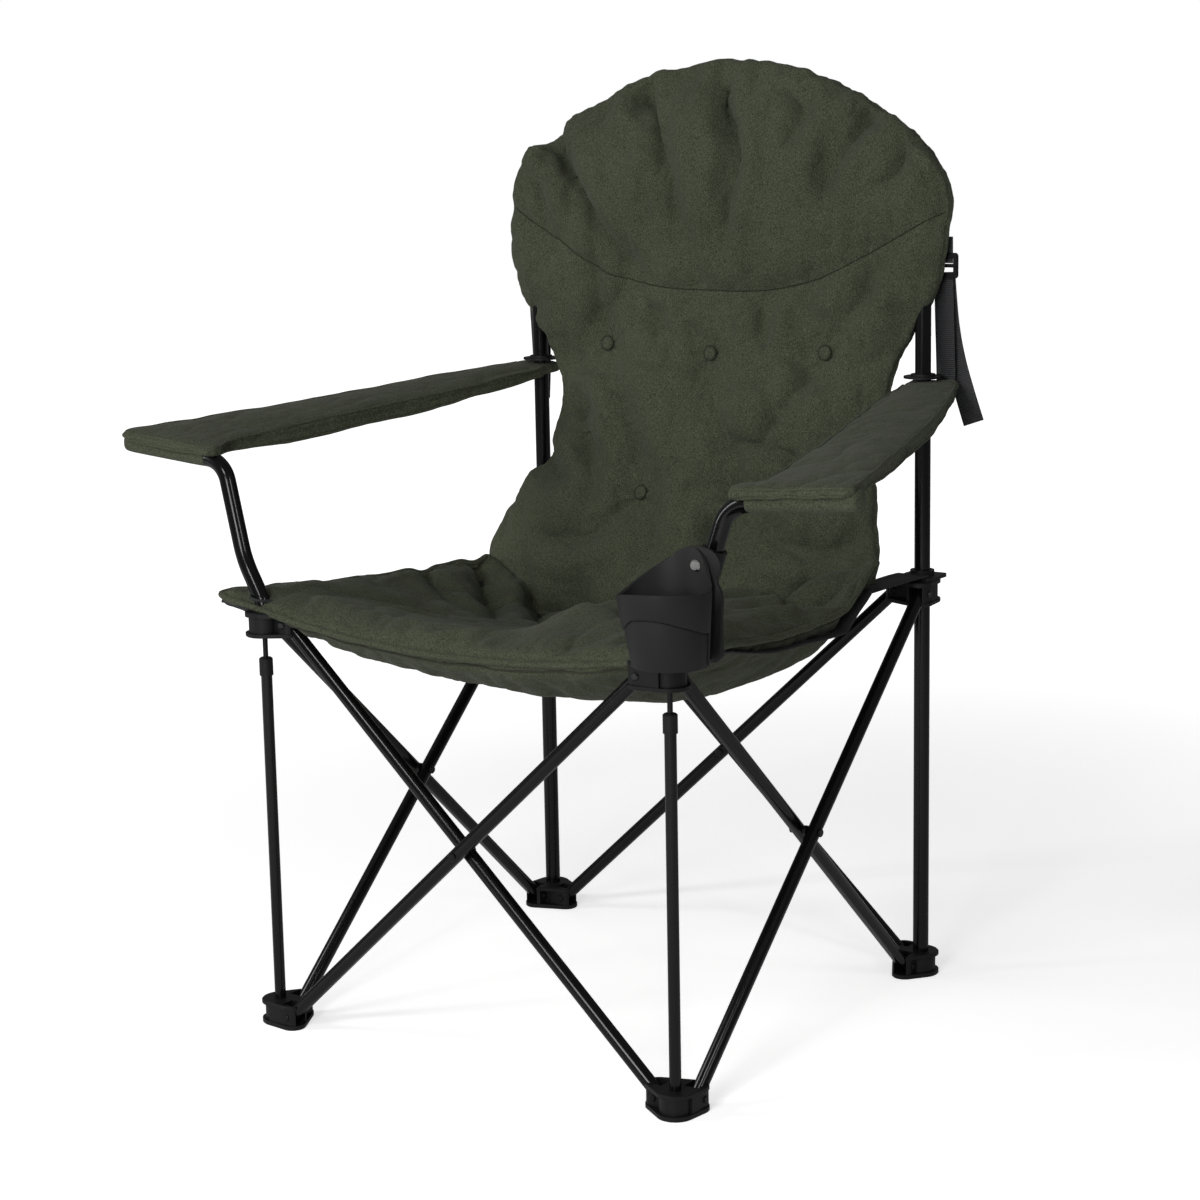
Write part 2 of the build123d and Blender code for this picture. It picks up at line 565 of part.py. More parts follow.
def seat(parts):
    """The seat pad in two halves that meet at the fold line, and the sling under each half."""
    holes = post_solid(POST_DIA + 2 * POST_HOLE_CLEAR)
    holes += mirror(holes, about=Plane.YZ)
    for name, stations in seat_stations().items():
        pads, slings = [], []
        for y, flap, side, dip, thick in stations:
            pads.append(seat_section(y, flap, side, SEAT_EDGE_Z, dip, thick, SEAT_EDGE_THICK))
            under = SEAT_UNDER - LAYER_GAP
            drop = dip + thick - SEAT_EDGE_THICK
            slings.append(seat_section(y, flap + SLING_EDGE, side, under, drop, SLING_THICK, SLING_THICK))
        pad, sling = loft(pads, ruled=True), loft(slings, ruled=True)
        if name == "front":
            pad -= holes
            sling -= holes
        else:
            sling = sling + sling_tab() + mirror(sling_tab(), about=Plane.YZ)
        parts[f"seat_pad_{name}"] = pad
        parts[f"seat_sling_{name}"] = sling


def sling_tab():
    """The right rear corner of the sling, reaching over the corner plate's front edge."""
    low = SEAT_UNDER - LAYER_GAP - SLING_THICK
    lap_z = HUB_TOP + PLATE_THICK + LAYER_GAP
    lap_y = POLE_Y - PLATE_SIDE / 2
    end_y = POLE_Y - PLATE_COLLAR_DIA / 2 - RUN_GAP
    outer = SEAT_SIDE_HALF
    start_y = SEAT_REAR_Y - SLING_TAB_WIDTH
    profile = Polyline(
        (start_y, low),
        (SEAT_REAR_Y, low),
        (lap_y - PLATE_THICK, lap_z),
        (end_y, lap_z),
        (end_y, lap_z + SLING_THICK),
        (lap_y - PLATE_THICK, lap_z + SLING_THICK),
        (SEAT_REAR_Y, low + SLING_THICK),
        (start_y, low + SLING_THICK),
        close=True,
    )
    face = Plane.YZ * make_face(profile)
    return Pos(outer - SLING_TAB_WIDTH, 0, 0) * extrude(face, SLING_TAB_WIDTH)


def corner_plates(parts):
    """The square plates on the rear hubs that hold the sling's rear corners round the poles."""
    for name, side in SIDES.items():
        plate = extrude(RectangleRounded(PLATE_SIDE, PLATE_SIDE, PLATE_ROUND), PLATE_THICK)
        plate += upright(PLATE_COLLAR_DIA, 0, PLATE_THICK + PLATE_COLLAR_HEIGHT)
        plate -= upright(POLE_DIA + 2 * SLIDE_CLEAR, -FAR, FAR)
        parts[f"rear_{name}_corner_plate"] = Pos(side * POLE_X, POLE_Y, HUB_TOP) * plate


@dataclass(frozen=True)
class BackStation:
    """A level section of the back pad."""

    z: float
    half: float
    middle_y: float
    edge_y: float
    thick: float
    edge: float

    def face(self):
        """The section as a face."""
        edge, thick = self.edge / 2, self.thick / 2
        low = (self.edge_y - edge, self.middle_y - thick)
        high = (self.edge_y + edge, self.middle_y + thick)
        return Pos(0, 0, self.z) * lens(self.half, *low, *high)


def back_stations():
    """The level sections of the back pad, from the seat to the domed top."""
    full, edge = BACK_PAD_THICK, BACK_EDGE_THICK
    neck_z = ARM_REAR_Z + BACK_NECK_RISE
    widest_z = POLE_TOP - BACK_WIDEST_DROP
    widest = POLE_X + BACK_WIDEST_OUT
    rows = [
        (HUB_TOP - BACK_FOOT_DROP, POLE_X - BACK_FOOT_IN, BACK_FOOT_AHEAD),
        (HUB_TOP + BACK_ANKLE_RISE, POLE_X - BACK_ANKLE_IN, BACK_ANKLE_AHEAD),
        (HUB_TOP + BACK_FLARE_RISE, POLE_X + BACK_FLARE_OUT, BACK_FLARE_AHEAD),
        (HUB_TOP + BACK_LOIN_RISE, POLE_X - BACK_LOIN_IN, BACK_LOIN_AHEAD),
        (ARM_REAR_Z - BACK_WAIST_DROP, POLE_X - BACK_WAIST_IN, BACK_WAIST_AHEAD),
        (neck_z, POLE_X - BACK_NECK_IN, BACK_NECK_AHEAD),
        (neck_z + (widest_z - neck_z) * BACK_SHOULDER_SHARE, POLE_X + BACK_SHOULDER_OUT, 0),
        (widest_z, widest, 0),
    ]
    low, high = rows[0][0], rows[-2][0]
    stations = []
    for z, half, ahead in rows:
        share = min((z - low) / (high - low), 1)
        wrap = BACK_WRAP * math.sin(math.pi * share)
        fill = BACK_FOOT_SHARE if z == low else 1
        middle = POLE_Y - ahead
        stations.append(BackStation(z, half, middle, middle + wrap, full * fill, edge * fill))
    for step in range(1, BACK_DOME_STEPS + 1):
        turn = math.radians(BACK_DOME_END * step / BACK_DOME_STEPS)
        rise, shrink = math.sin(turn), math.cos(turn)
        middle = POLE_Y + BACK_TOP_BEHIND * rise**2
        fill = shrink ** (1 / 2)
        z = widest_z + BACK_DOME_RISE * rise
        stations.append(BackStation(z, widest * shrink, middle, middle, full * fill, edge * fill))
    return stations


def front_point(pad, x, z):
    """The point on the front of a pad at a given X and Z."""
    ray = Axis((x, -POLE_Y, z), (0, 1, 0))
    return pad.find_intersection_points(ray)[0][0]


def back(parts):
    """The tufted back pad with its pole pockets, its sewn curve and its covered buttons."""
    plain = loft([station.face() for station in back_stations()])
    upper_z, lower_z = POLE_TOP - UPPER_TUFT_DROP, HUB_TOP + LOWER_TUFT_RISE
    tufts = [(0, upper_z)]
    for side in SIDES.values():
        tufts += [(side * UPPER_TUFT_X, upper_z), (side * LOWER_TUFT_X, lower_z)]
    pad = plain
    buttons = []
    for x, z in tufts:
        spot = front_point(plain, x, z)
        pad -= Pos(spot.X, spot.Y + TUFT_DEPTH - TUFT_RADIUS, spot.Z) * Sphere(TUFT_RADIUS)
        seat_y = spot.Y + TUFT_DEPTH - LAYER_GAP - BUTTON_DIA**2 / (8 * TUFT_RADIUS)
        buttons.append(Pos(x, seat_y, z) * Rot(90, 0, 0) * dome_head(BUTTON_DIA, BUTTON_HEIGHT))
    seam_half, seam_z = POLE_X + SEAM_OUT, POLE_TOP - SEAM_END_DROP
    ends = [front_point(plain, side * seam_half, seam_z) for side in (-1, 1)]
    lowest = front_point(plain, 0, POLE_TOP - SEAM_LOW_DROP)
    ahead = Vector(0, -SEAM_STANDOFF, 0)
    seam = ThreePointArc(ends[0] + ahead, lowest + ahead, ends[1] + ahead)
    pad -= sweep(Plane(seam @ 0, z_dir=seam % 0) * Circle(SEAM_RADIUS), path=seam)
    pocket = upright(POLE_DIA + 2 * SLIDE_CLEAR, HUB_TOP, POLE_TOP + CAP_LID + SLIDE_CLEAR)
    recess = strap_recess()
    for side in SIDES.values():
        pad -= Pos(side * POLE_X, POLE_Y, 0) * pocket
        pad -= recess if side > 0 else mirror(recess, about=Plane.YZ)
    parts["back_pad"] = pad
    parts["back_buttons"] = Compound(buttons)


def strap_recess():
    """The room that the right buckle and its webbing take out of the back pad."""
    half = BUCKLE_WIDTH / 2 + RECESS_CLEAR
    low = BUCKLE_Z - BUCKLE_HEIGHT / 2 - RECESS_CLEAR
    high = BUCKLE_Z + BUCKLE_HEIGHT / 2 + RECESS_CLEAR
    front = STRAP_Y - (BUCKLE_THICK - STRAP_THICK) / 2 - RECESS_CLEAR
    room = span_box((STRAP_X - half, STRAP_X + half), (front, FAR + POLE_Y), (low, high))
    web = STRAP_WIDTH / 2 + RECESS_CLEAR
    long = (ARM_REAR_Z, BUCKLE_Z + STRAP_ANCHOR + RECESS_CLEAR)
    return room + span_box((STRAP_X - web, STRAP_X + web), (STRAP_Y - LAYER_GAP, FAR + POLE_Y), long)


def strap_solids():
    """The right webbing: the strap with its hanging tail, and the anchor web above the buckle."""
    half = STRAP_WIDTH / 2
    slot_low = BUCKLE_Z - BUCKLE_BAR / 2 - BUCKLE_SLOT
    width = (STRAP_X - half, STRAP_X + half)
    bridge_z = (slot_low + RUN_GAP, slot_low + RUN_GAP + STRAP_THICK)
    run = span_box(width, (STRAP_Y, STRAP_Y + STRAP_THICK), (ARM_REAR_Z - STRAP_LAP / 2, bridge_z[1]))
    tail_y = STRAP_Y + TAIL_GAP
    run += span_box(width, (STRAP_Y, tail_y + STRAP_THICK), bridge_z)
    top = bridge_z[1]
    line = FilletPolyline(
        (STRAP_X, top),
        (STRAP_X + TAIL_FIRST_SWING, top - TAIL_FIRST_DROP),
        (STRAP_X + TAIL_SECOND_SWING, top - TAIL_SECOND_DROP),
        (STRAP_X + TAIL_END_SWING, top - TAIL_END_DROP),
        radius=TAIL_BEND_RADIUS,
    )
    tail = extrude(Plane.XZ * trace(line, STRAP_WIDTH), -STRAP_THICK)
    run += Pos(0, tail_y, 0) * tail
    pivot = Pos(0, STRAP_Y, BUCKLE_Z)
    run = pivot * Rot(STRAP_RAKE, 0, 0) * pivot.inverse() * run
    slot_high = BUCKLE_Z + BUCKLE_BAR / 2
    anchor_z = (slot_high + RUN_GAP, BUCKLE_Z + STRAP_ANCHOR)
    anchor = span_box(width, (STRAP_Y, STRAP_Y + STRAP_THICK), anchor_z)
    return [run, anchor]


def buckle_solid():
    """The right ladder-lock buckle: a rounded frame with two slots and a middle bar."""
    face = RectangleRounded(BUCKLE_WIDTH, BUCKLE_HEIGHT, BUCKLE_ROUND)
    lift = (BUCKLE_BAR + BUCKLE_SLOT) / 2
    for step in (-lift, lift):
        face -= Pos(0, step) * Rectangle(BUCKLE_SLOT_WIDTH, BUCKLE_SLOT)
    frame = extrude(Plane.XZ * face, BUCKLE_THICK / 2, both=True)
    room = STRAP_WIDTH / 2 + LAYER_GAP
    lane = (-STRAP_THICK / 2 - LAYER_GAP, STRAP_THICK / 2 + LAYER_GAP)
    frame -= span_box((-room, room), lane, (lift, BUCKLE_HEIGHT))
    frame -= Rot(STRAP_RAKE, 0, 0) * span_box((-room, room), lane, (-BUCKLE_HEIGHT, -lift))
    return Pos(STRAP_X, STRAP_Y + STRAP_THICK / 2, BUCKLE_Z) * frame


def straps(parts):
    """The webbing that holds up the rear of each armrest, and its buckle."""
    webs, buckle = strap_solids(), buckle_solid()
    parts["right_strap"] = Compound(webs)
    parts["left_strap"] = Compound([mirror(web, about=Plane.YZ) for web in webs])
    parts["right_buckle"] = buckle
    parts["left_buckle"] = mirror(buckle, about=Plane.YZ)


def clamp_spot():
    """The place and direction of the arm post's axis at the cup holder's clamp."""
    knee, bend = post_corners()[2:4]
    share = (CLAMP_Z - knee.Z) / (bend.Z - knee.Z)
    return knee + (bend - knee) * share, (bend - knee).normalized()


def cup_band(slope):
    """The proud upper band of the cup, with a lower edge that waves."""
    low = CUP_HEIGHT - CUP_BAND_HEIGHT
    radius = CUP_BOTTOM_DIA / 2 + slope * (low - CUP_BAND_WAVE) + CUP_BAND_PROUD
    top = CUP_TOP_DIA / 2 + CUP_BAND_PROUD
    band = Pos(0, 0, low - CUP_BAND_WAVE) * Cone(
        radius, top, CUP_BAND_HEIGHT + CUP_BAND_WAVE, align=(Align.CENTER, Align.CENTER, Align.MIN)
    )
    edge = ThreePointArc((-CUP_TOP_DIA, low), (-CUP_TOP_DIA / 4, low + CUP_BAND_WAVE), (0, low))
    edge += ThreePointArc((0, low), (CUP_TOP_DIA / 4, low - CUP_BAND_WAVE), (CUP_TOP_DIA, low))
    edge += Polyline((CUP_TOP_DIA, low), (CUP_TOP_DIA, CUP_HEIGHT), (-CUP_TOP_DIA, CUP_HEIGHT), (-CUP_TOP_DIA, low))
    return band & extrude(Plane.XZ * make_face(edge), CUP_TOP_DIA, both=True)


def ear_outline(ear_x, ear_top):
    """The cup's rising back wall and ear from the front: a round ear with a full shoulder over the left rim."""
    tip_x = EAR_TIP_RADIUS - CUP_TOP_DIA / 2
    shoulder_x = EAR_SHOULDER_RADIUS - CUP_TOP_DIA / 2
    rounds = [
        Pos(ear_x, ear_top - EAR_WIDTH / 2) * Circle(EAR_WIDTH / 2),
        Pos(shoulder_x, CUP_HEIGHT + EAR_SHOULDER_RISE) * Circle(EAR_SHOULDER_RADIUS),
        Pos(ear_x + EAR_WIDTH / 2 - EAR_TIP_RADIUS, EAR_TIP_RADIUS) * Circle(EAR_TIP_RADIUS),
        Pos(tip_x, EAR_TIP_RADIUS) * Circle(EAR_TIP_RADIUS),
    ]
    return make_hull([ring.edge() for ring in rounds])


def cup_holder(parts):
    """The cup holder: a tapered cup with a handle slot and an ear, its clamp and its rivet."""
    spot, lean = clamp_spot()
    ear_y = spot.Y - POST_DIA / 2 - CLAMP_WALL - CLAMP_PAD
    middle = Vector(spot.X + CUP_SHIFT, ear_y - CUP_TOP_DIA / 2, CUP_FLOOR_Z)
    slope = (CUP_TOP_DIA - CUP_BOTTOM_DIA) / 2 / CUP_HEIGHT
    cup = Cone(CUP_BOTTOM_DIA / 2, CUP_TOP_DIA / 2, CUP_HEIGHT, align=(Align.CENTER, Align.CENTER, Align.MIN))
    cup += cup_band(slope)
    ear_x, back_y = spot.X - middle.X, ear_y - middle.Y
    ear_top = EAR_TOP_Z - CUP_FLOOR_Z
    wall = extrude(Plane.XZ * ear_outline(ear_x, ear_top), -back_y)
    cup += upright(CUP_TOP_DIA, CUP_HEIGHT, ear_top) & wall
    ear_span = (ear_x - EAR_WIDTH / 2, ear_x + EAR_WIDTH / 2)
    cup += span_box(ear_span, (back_y - EAR_THICK, back_y), (0, ear_top)) & wall
    cup += span_box(ear_span, (0, back_y), (0, CUP_HEIGHT))
    inside_low = CUP_BOTTOM_DIA / 2 - CUP_WALL + slope * CUP_FLOOR
    inside_high = CUP_TOP_DIA / 2 - CUP_WALL
    cup -= Pos(0, 0, CUP_FLOOR) * Cone(
        inside_low, inside_high, CUP_HEIGHT - CUP_FLOOR, align=(Align.CENTER, Align.CENTER, Align.MIN)
    )
    cup -= upright(2 * inside_high, CUP_HEIGHT, 2 * ear_top)
    cup -= upright(DRAIN_DIA, -CUP_FLOOR, 2 * CUP_FLOOR)
    slot_y = (-HANDLE_SLOT / 2, HANDLE_SLOT / 2)
    cup -= span_box((0, CUP_TOP_DIA), slot_y, (HANDLE_SLOT_FLOOR, 2 * CUP_HEIGHT))
    rivet_hole = Rot(90, 0, 0) * Cylinder(CUP_RIVET_DIA / 2 + PRESS_FIT, 2 * (CLAMP_PAD + CLAMP_WALL))
    cup -= Pos(ear_x, back_y, CLAMP_Z - CUP_FLOOR_Z) * rivet_hole
    head_room = Rot(90, 0, 0) * Cylinder(CUP_RIVET_HEAD_DIA / 2 + RUN_GAP, 2 * CUP_RIVET_HEAD_HEIGHT)
    head_y = back_y - EAR_THICK - CUP_RIVET_HEAD_HEIGHT
    cup -= Pos(ear_x, head_y, CLAMP_Z - CUP_FLOOR_Z) * head_room
    parts["cup_holder"] = Pos(*middle) * cup

    along = Plane(spot, z_dir=lean)
    collar = along * Cylinder(POST_DIA / 2 + CLAMP_WALL, CLAMP_HEIGHT)
    half = CLAMP_PAD_WIDTH / 2
    pad_z = (CLAMP_Z - CLAMP_HEIGHT / 2 + CLAMP_WALL, CLAMP_Z + CLAMP_HEIGHT / 2 - CLAMP_WALL)
    collar += span_box((spot.X - half, spot.X + half), (ear_y, spot.Y), pad_z)
    collar -= along * Cylinder(POST_DIA / 2 + PRESS_FIT, 2 * CLAMP_HEIGHT)
    collar -= Pos(spot.X, ear_y, CLAMP_Z) * rivet_hole
    parts["cup_holder_clamp"] = collar

    shank = CLAMP_PAD + CLAMP_WALL / 2 + EAR_THICK
    rivet = upright(CUP_RIVET_DIA, 0, shank)
    rivet += Pos(0, 0, shank) * pan_head(CUP_RIVET_HEAD_DIA, CUP_RIVET_HEAD_HEIGHT)
    parts["cup_holder_rivet"] = Pos(spot.X, ear_y - EAR_THICK + shank, CLAMP_Z) * Rot(90, 0, 0) * rivet


def build():
    """Every piece of the chair by name, in the chair's own frame."""
    parts = {}
    for make in (feet, hubs, legs, back_poles, front_struts, arm_posts, armrests, seat, corner_plates):
        make(parts)
    for make in (back, straps, cup_holder):
        make(parts)
    return {name: Pos(0, FRAME_BACK, 0) * shape for name, shape in parts.items()}


def main():
    """Writes one STEP file for each piece."""
    os.makedirs("parts", exist_ok=True)
    for name, shape in build().items():
        export_step(shape, f"parts/{name}.step")


if __name__ == "__main__":
    main()
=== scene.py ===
"""Looks of a padded folding camp chair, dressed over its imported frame.

Metres. X points to the sitter's left, Y to the back of the chair and Z up. Every piece rides on a body of the
frame. Soft pieces are closed covers filled by a short cloth run, then pressed in along their seams and folds.
"""
import json
import logging
import math
from dataclasses import dataclass, field
from enum import Enum
from typing import Callable, Iterable, Sequence

import bmesh
import bpy
import numpy as np
from mathutils import Matrix, Vector
from mathutils.bvhtree import BVHTree

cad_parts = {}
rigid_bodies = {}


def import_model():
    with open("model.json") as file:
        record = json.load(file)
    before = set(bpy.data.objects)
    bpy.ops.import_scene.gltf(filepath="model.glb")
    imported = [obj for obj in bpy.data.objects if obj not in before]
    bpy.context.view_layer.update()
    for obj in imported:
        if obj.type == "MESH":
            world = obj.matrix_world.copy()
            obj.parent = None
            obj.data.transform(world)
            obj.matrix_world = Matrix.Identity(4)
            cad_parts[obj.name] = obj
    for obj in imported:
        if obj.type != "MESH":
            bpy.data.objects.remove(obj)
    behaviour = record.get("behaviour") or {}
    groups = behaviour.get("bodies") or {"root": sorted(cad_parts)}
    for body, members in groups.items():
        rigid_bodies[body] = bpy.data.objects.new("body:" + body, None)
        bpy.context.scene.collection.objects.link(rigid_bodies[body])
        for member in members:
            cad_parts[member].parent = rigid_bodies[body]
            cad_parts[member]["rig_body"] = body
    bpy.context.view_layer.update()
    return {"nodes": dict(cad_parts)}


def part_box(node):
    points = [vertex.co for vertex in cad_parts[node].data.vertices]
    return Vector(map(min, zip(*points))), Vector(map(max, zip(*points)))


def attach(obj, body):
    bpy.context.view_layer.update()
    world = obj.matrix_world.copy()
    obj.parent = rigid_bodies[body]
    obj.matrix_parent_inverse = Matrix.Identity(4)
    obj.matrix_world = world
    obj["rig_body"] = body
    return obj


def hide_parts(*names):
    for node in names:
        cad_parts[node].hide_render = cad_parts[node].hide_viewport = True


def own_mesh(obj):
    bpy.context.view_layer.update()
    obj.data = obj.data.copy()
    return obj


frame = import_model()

LOG = logging.getLogger("camp_chair")
MM = 0.001
# sewn cords: how much the radius varies, over what length and with what seed, and how many sides there are
CORD_UNEVEN = 0.14
CORD_SWING = 0.012
CORD_SEED = 5
CORD_SIDES = 8
# how often a trim's path is evened out
EVEN_PASSES = 3
# a wave texture of scale 1 repeats every pi over this rate
WAVE_RATE = 10

Point = tuple[float, float, float]
Flat = tuple[float, float]


class Side(Enum):
    """The two sides of the chair as seen from the front, by the sign of X."""

    LEFT = -1
    RIGHT = 1

    @property
    def word(self) -> str:
        """The side's name as the nodes spell it."""
        return self.name.lower()


# Small tools


def linear(code: str) -> tuple[float, float, float, float]:
    """Turns an sRGB colour of six hex digits into linear RGBA with an alpha of 1."""
    parts = [int(code[i : i + 2], 16) / 255 for i in (0, 2, 4)]
    light = [c / 12.92 if c <= 0.04045 else ((c + 0.055) / 1.055) ** 2.4 for c in parts]
    return (*light, 1.0)


def add_node(tree: bpy.types.NodeTree, kind: str, settings: dict, inputs: dict) -> bpy.types.Node:
    """Adds one node with its settings and its links.

    Args:
        tree: The node tree that takes the node.
        kind: The node's type name.
        settings: Attributes to set on the node.
        inputs: For each input's name or index, a value to set or an output socket to link.

    Returns:
        The new node.
    """
    node = tree.nodes.new(kind)
    for name, value in settings.items():
        setattr(node, name, value)
    for name, value in inputs.items():
        if isinstance(value, bpy.types.NodeSocket):
            tree.links.new(value, node.inputs[name])
        else:
            node.inputs[name].default_value = value
    return node


def link_object(name: str, mesh: bpy.types.Mesh) -> bpy.types.Object:
    """Puts a mesh into the scene as an object at the origin."""
    obj = bpy.data.objects.new(name, mesh)
    bpy.context.scene.collection.objects.link(obj)
    return obj


def mesh_object(name: str, points: np.ndarray, faces: Sequence[Sequence[int]]) -> bpy.types.Object:
    """Makes an object from points and faces, with smooth faces that point outwards.

    Args:
        name: The object's name.
        points: One row of X, Y and Z for each point.
        faces: The corners of each face.

    Returns:
        The new object.
    """
    mesh = bpy.data.meshes.new(name)
    mesh.from_pydata([tuple(p) for p in points], [], [tuple(f) for f in faces])
    shape = bmesh.new()
    shape.from_mesh(mesh)
    bmesh.ops.remove_doubles(shape, verts=shape.verts, dist=1e-6)
    bmesh.ops.recalc_face_normals(shape, faces=shape.faces)
    shape.to_mesh(mesh)
    shape.free()
    mesh.shade_smooth()
    return link_object(name, mesh)


def grid_faces(lines: int, columns: int) -> list[tuple[int, ...]]:
    """The square faces of a sheet whose points lie in lines and columns."""
    corners = (0, 1, columns + 1, columns)
    starts = [i * columns + k for i in range(lines - 1) for k in range(columns - 1)]
    return [tuple(start + corner for corner in corners) for start in starts]


def ring_faces(count: int, ring: int, closed: bool) -> list[tuple[int, ...]]:
    """The faces over a count of rings of points: closed to a loop, or else capped at both ends."""
    faces: list[tuple[int, ...]] = []
    for i in range(count if closed else count - 1):
        a, b = i * ring, (i + 1) % count * ring
        faces += [(a + k, a + (k + 1) % ring, b + (k + 1) % ring, b + k) for k in range(ring)]
    if not closed:
        faces.append(tuple(range(ring)))
        faces.append(tuple((count - 1) * ring + k for k in range(ring)))
    return faces


def loft(name: str, rows: Sequence[np.ndarray], closed: bool = False) -> bpy.types.Object:
    """Makes a skin over rings of points, all with the same count, as ring_faces says."""
    return mesh_object(name, np.concatenate(rows), ring_faces(len(rows), len(rows[0]), closed))


def tube_along(name: str, path: np.ndarray, radius: float, closed: bool) -> bpy.types.Object:
    """Makes a round cord along a mostly level path, with a radius that varies a little along it."""
    along = np.roll(path, -1, axis=0) - np.roll(path, 1, axis=0)
    if not closed:
        along = np.gradient(path, axis=0)
    along /= np.linalg.norm(along, axis=1, keepdims=True)
    out = np.cross(along, np.array([0.0, 0.0, 1.0]))
    out /= np.linalg.norm(out, axis=1, keepdims=True)
    lift = np.cross(out, along)
    thick = (radius * (1 + CORD_UNEVEN * value_noise(path, CORD_SWING, CORD_SEED)))[:, None]
    turns = full_turn(CORD_SIDES)
    rings = np.stack([path + thick * (math.cos(t) * out + math.sin(t) * lift) for t in turns], axis=1)
    return loft(name, list(rings), closed)


def settle(obj: bpy.types.Object) -> None:
    """Applies every modifier of an object and leaves a plain mesh."""
    graph = bpy.context.evaluated_depsgraph_get()
    mesh = bpy.data.meshes.new_from_object(obj.evaluated_get(graph))
    obj.modifiers.clear()
    obj.data = mesh
    mesh.shade_smooth()


def subdivide(obj: bpy.types.Object, levels: int) -> None:
    """Subdivides an object's surface and applies it."""
    smooth = obj.modifiers.new("smooth", "SUBSURF")
    smooth.levels = levels
    smooth.render_levels = levels
    settle(obj)


def get_points(obj: bpy.types.Object) -> np.ndarray:
    """An object's points as an array of rows."""
    flat = np.empty(len(obj.data.vertices) * 3)
    obj.data.vertices.foreach_get("co", flat)
    return flat.reshape(-1, 3)


def set_points(obj: bpy.types.Object, points: np.ndarray) -> None:
    """Writes an array of rows back to an object's points."""
    obj.data.vertices.foreach_set("co", points.astype(np.float32).ravel())
    obj.data.update()


def get_normals(obj: bpy.types.Object) -> np.ndarray:
    """An object's point normals as an array of rows."""
    flat = np.empty(len(obj.data.vertices) * 3)
    obj.data.vertex_normals.foreach_get("vector", flat)
    return flat.reshape(-1, 3)


def dress(obj: bpy.types.Object, finish: bpy.types.Material, slot: str) -> bpy.types.Object:
    """Gives an object one finish."""
    obj.data.materials.clear()
    obj.data.materials.append(finish)
    return obj


def curve_through(knots: Sequence[float], values: Sequence[float], at: np.ndarray) -> np.ndarray:
    """Reads a smooth curve through values at rising knots, with slopes from their neighbours."""
    x, y = np.asarray(knots, float), np.asarray(values, float)
    slope = np.gradient(y, x)
    at = np.clip(at, x[0], x[-1])
    i = np.clip(np.searchsorted(x, at) - 1, 0, len(x) - 2)
    step = x[i + 1] - x[i]
    t = (at - x[i]) / step
    start = (1 + 2 * t) * (1 - t) ** 2 * y[i] + t * (1 - t) ** 2 * step * slope[i]
    end = t**2 * (3 - 2 * t) * y[i + 1] + t**2 * (t - 1) * step * slope[i + 1]
    return start + end


def reach_along(path: np.ndarray) -> np.ndarray:
    """The distance of each point of a path from its start, along the path."""
    return np.concatenate([[0], np.cumsum(np.linalg.norm(np.diff(path, axis=0), axis=1))])


def path_length(path: np.ndarray) -> float:
    """The length of a path."""
    return float(np.linalg.norm(np.diff(path, axis=0), axis=1).sum())


def path_through(points: Sequence[Sequence[float]], count: int) -> np.ndarray:
    """A smooth path through a few points, as a count of evenly spread rows."""
    rows = np.asarray(points, float)
    reach = reach_along(rows)
    at = np.linspace(0, reach[-1], count)
    return np.stack([curve_through(reach, rows[:, k], at) for k in range(rows.shape[1])], axis=1)


def smooth_share(share: np.ndarray) -> np.ndarray:
    """Eases a share from 0 to 1 in and out."""
    return share * share * (3 - 2 * share)


def ramp(value: np.ndarray, start: float, length: float) -> np.ndarray:
    """A share that rises evenly from 0 at a start to 1 after a length."""
    return np.clip((value - start) / length, 0, 1)


def bell(away: np.ndarray, height: float, width: float) -> np.ndarray:
    """A smooth swell beside a line, by the distance from the line."""
    return height * np.exp(-((away / width) ** 2))


def boxed(wave: np.ndarray, power: float) -> np.ndarray:
    """Squares up a wave from -1 to 1: the lower the power, the boxier a ring that is drawn with it."""
    return np.sign(wave) * np.abs(wave) ** power


def full_turn(count: int) -> np.ndarray:
    """Evenly spread angles once round."""
    return np.linspace(0, 2 * np.pi, count, endpoint=False)


def value_noise(points: np.ndarray, size: float, seed: int) -> np.ndarray:
    """Smooth random values from -1 to 1, one for each point, with about one swing in each size of length."""
    lattice = 32
    table = np.random.default_rng(seed).uniform(-1, 1, (lattice, lattice, lattice))
    place = points / size
    cell = np.floor(place).astype(int)
    part = place - cell
    part = smooth_share(part)
    total = np.zeros(len(points))
    for corner in np.ndindex(2, 2, 2):
        weight = np.prod(np.where(np.array(corner) == 1, part, 1 - part), axis=1)
        spot = (cell + corner) % lattice
        total += weight * table[spot[:, 0], spot[:, 1], spot[:, 2]]
    return total


def distance_to_path(points: np.ndarray, path: np.ndarray) -> tuple[np.ndarray, np.ndarray]:
    """The distance of each point from a path, and its share of the way along the path."""
    best = np.full(len(points), np.inf)
    share = np.zeros(len(points))
    steps = len(path) - 1
    for i in range(steps):
        run = path[i + 1] - path[i]
        t = np.clip((points - path[i]) @ run / max(run @ run, 1e-12), 0, 1)
        away = np.linalg.norm(points - path[i] - t[:, None] * run, axis=1)
        closer = away < best
        best[closer] = away[closer]
        share[closer] = (i + t[closer]) / steps
    return best, share


def surface_of(obj: bpy.types.Object) -> BVHTree:
    """An object's surface, for laying trims on it."""
    return BVHTree.FromObject(obj, bpy.context.evaluated_depsgraph_get())


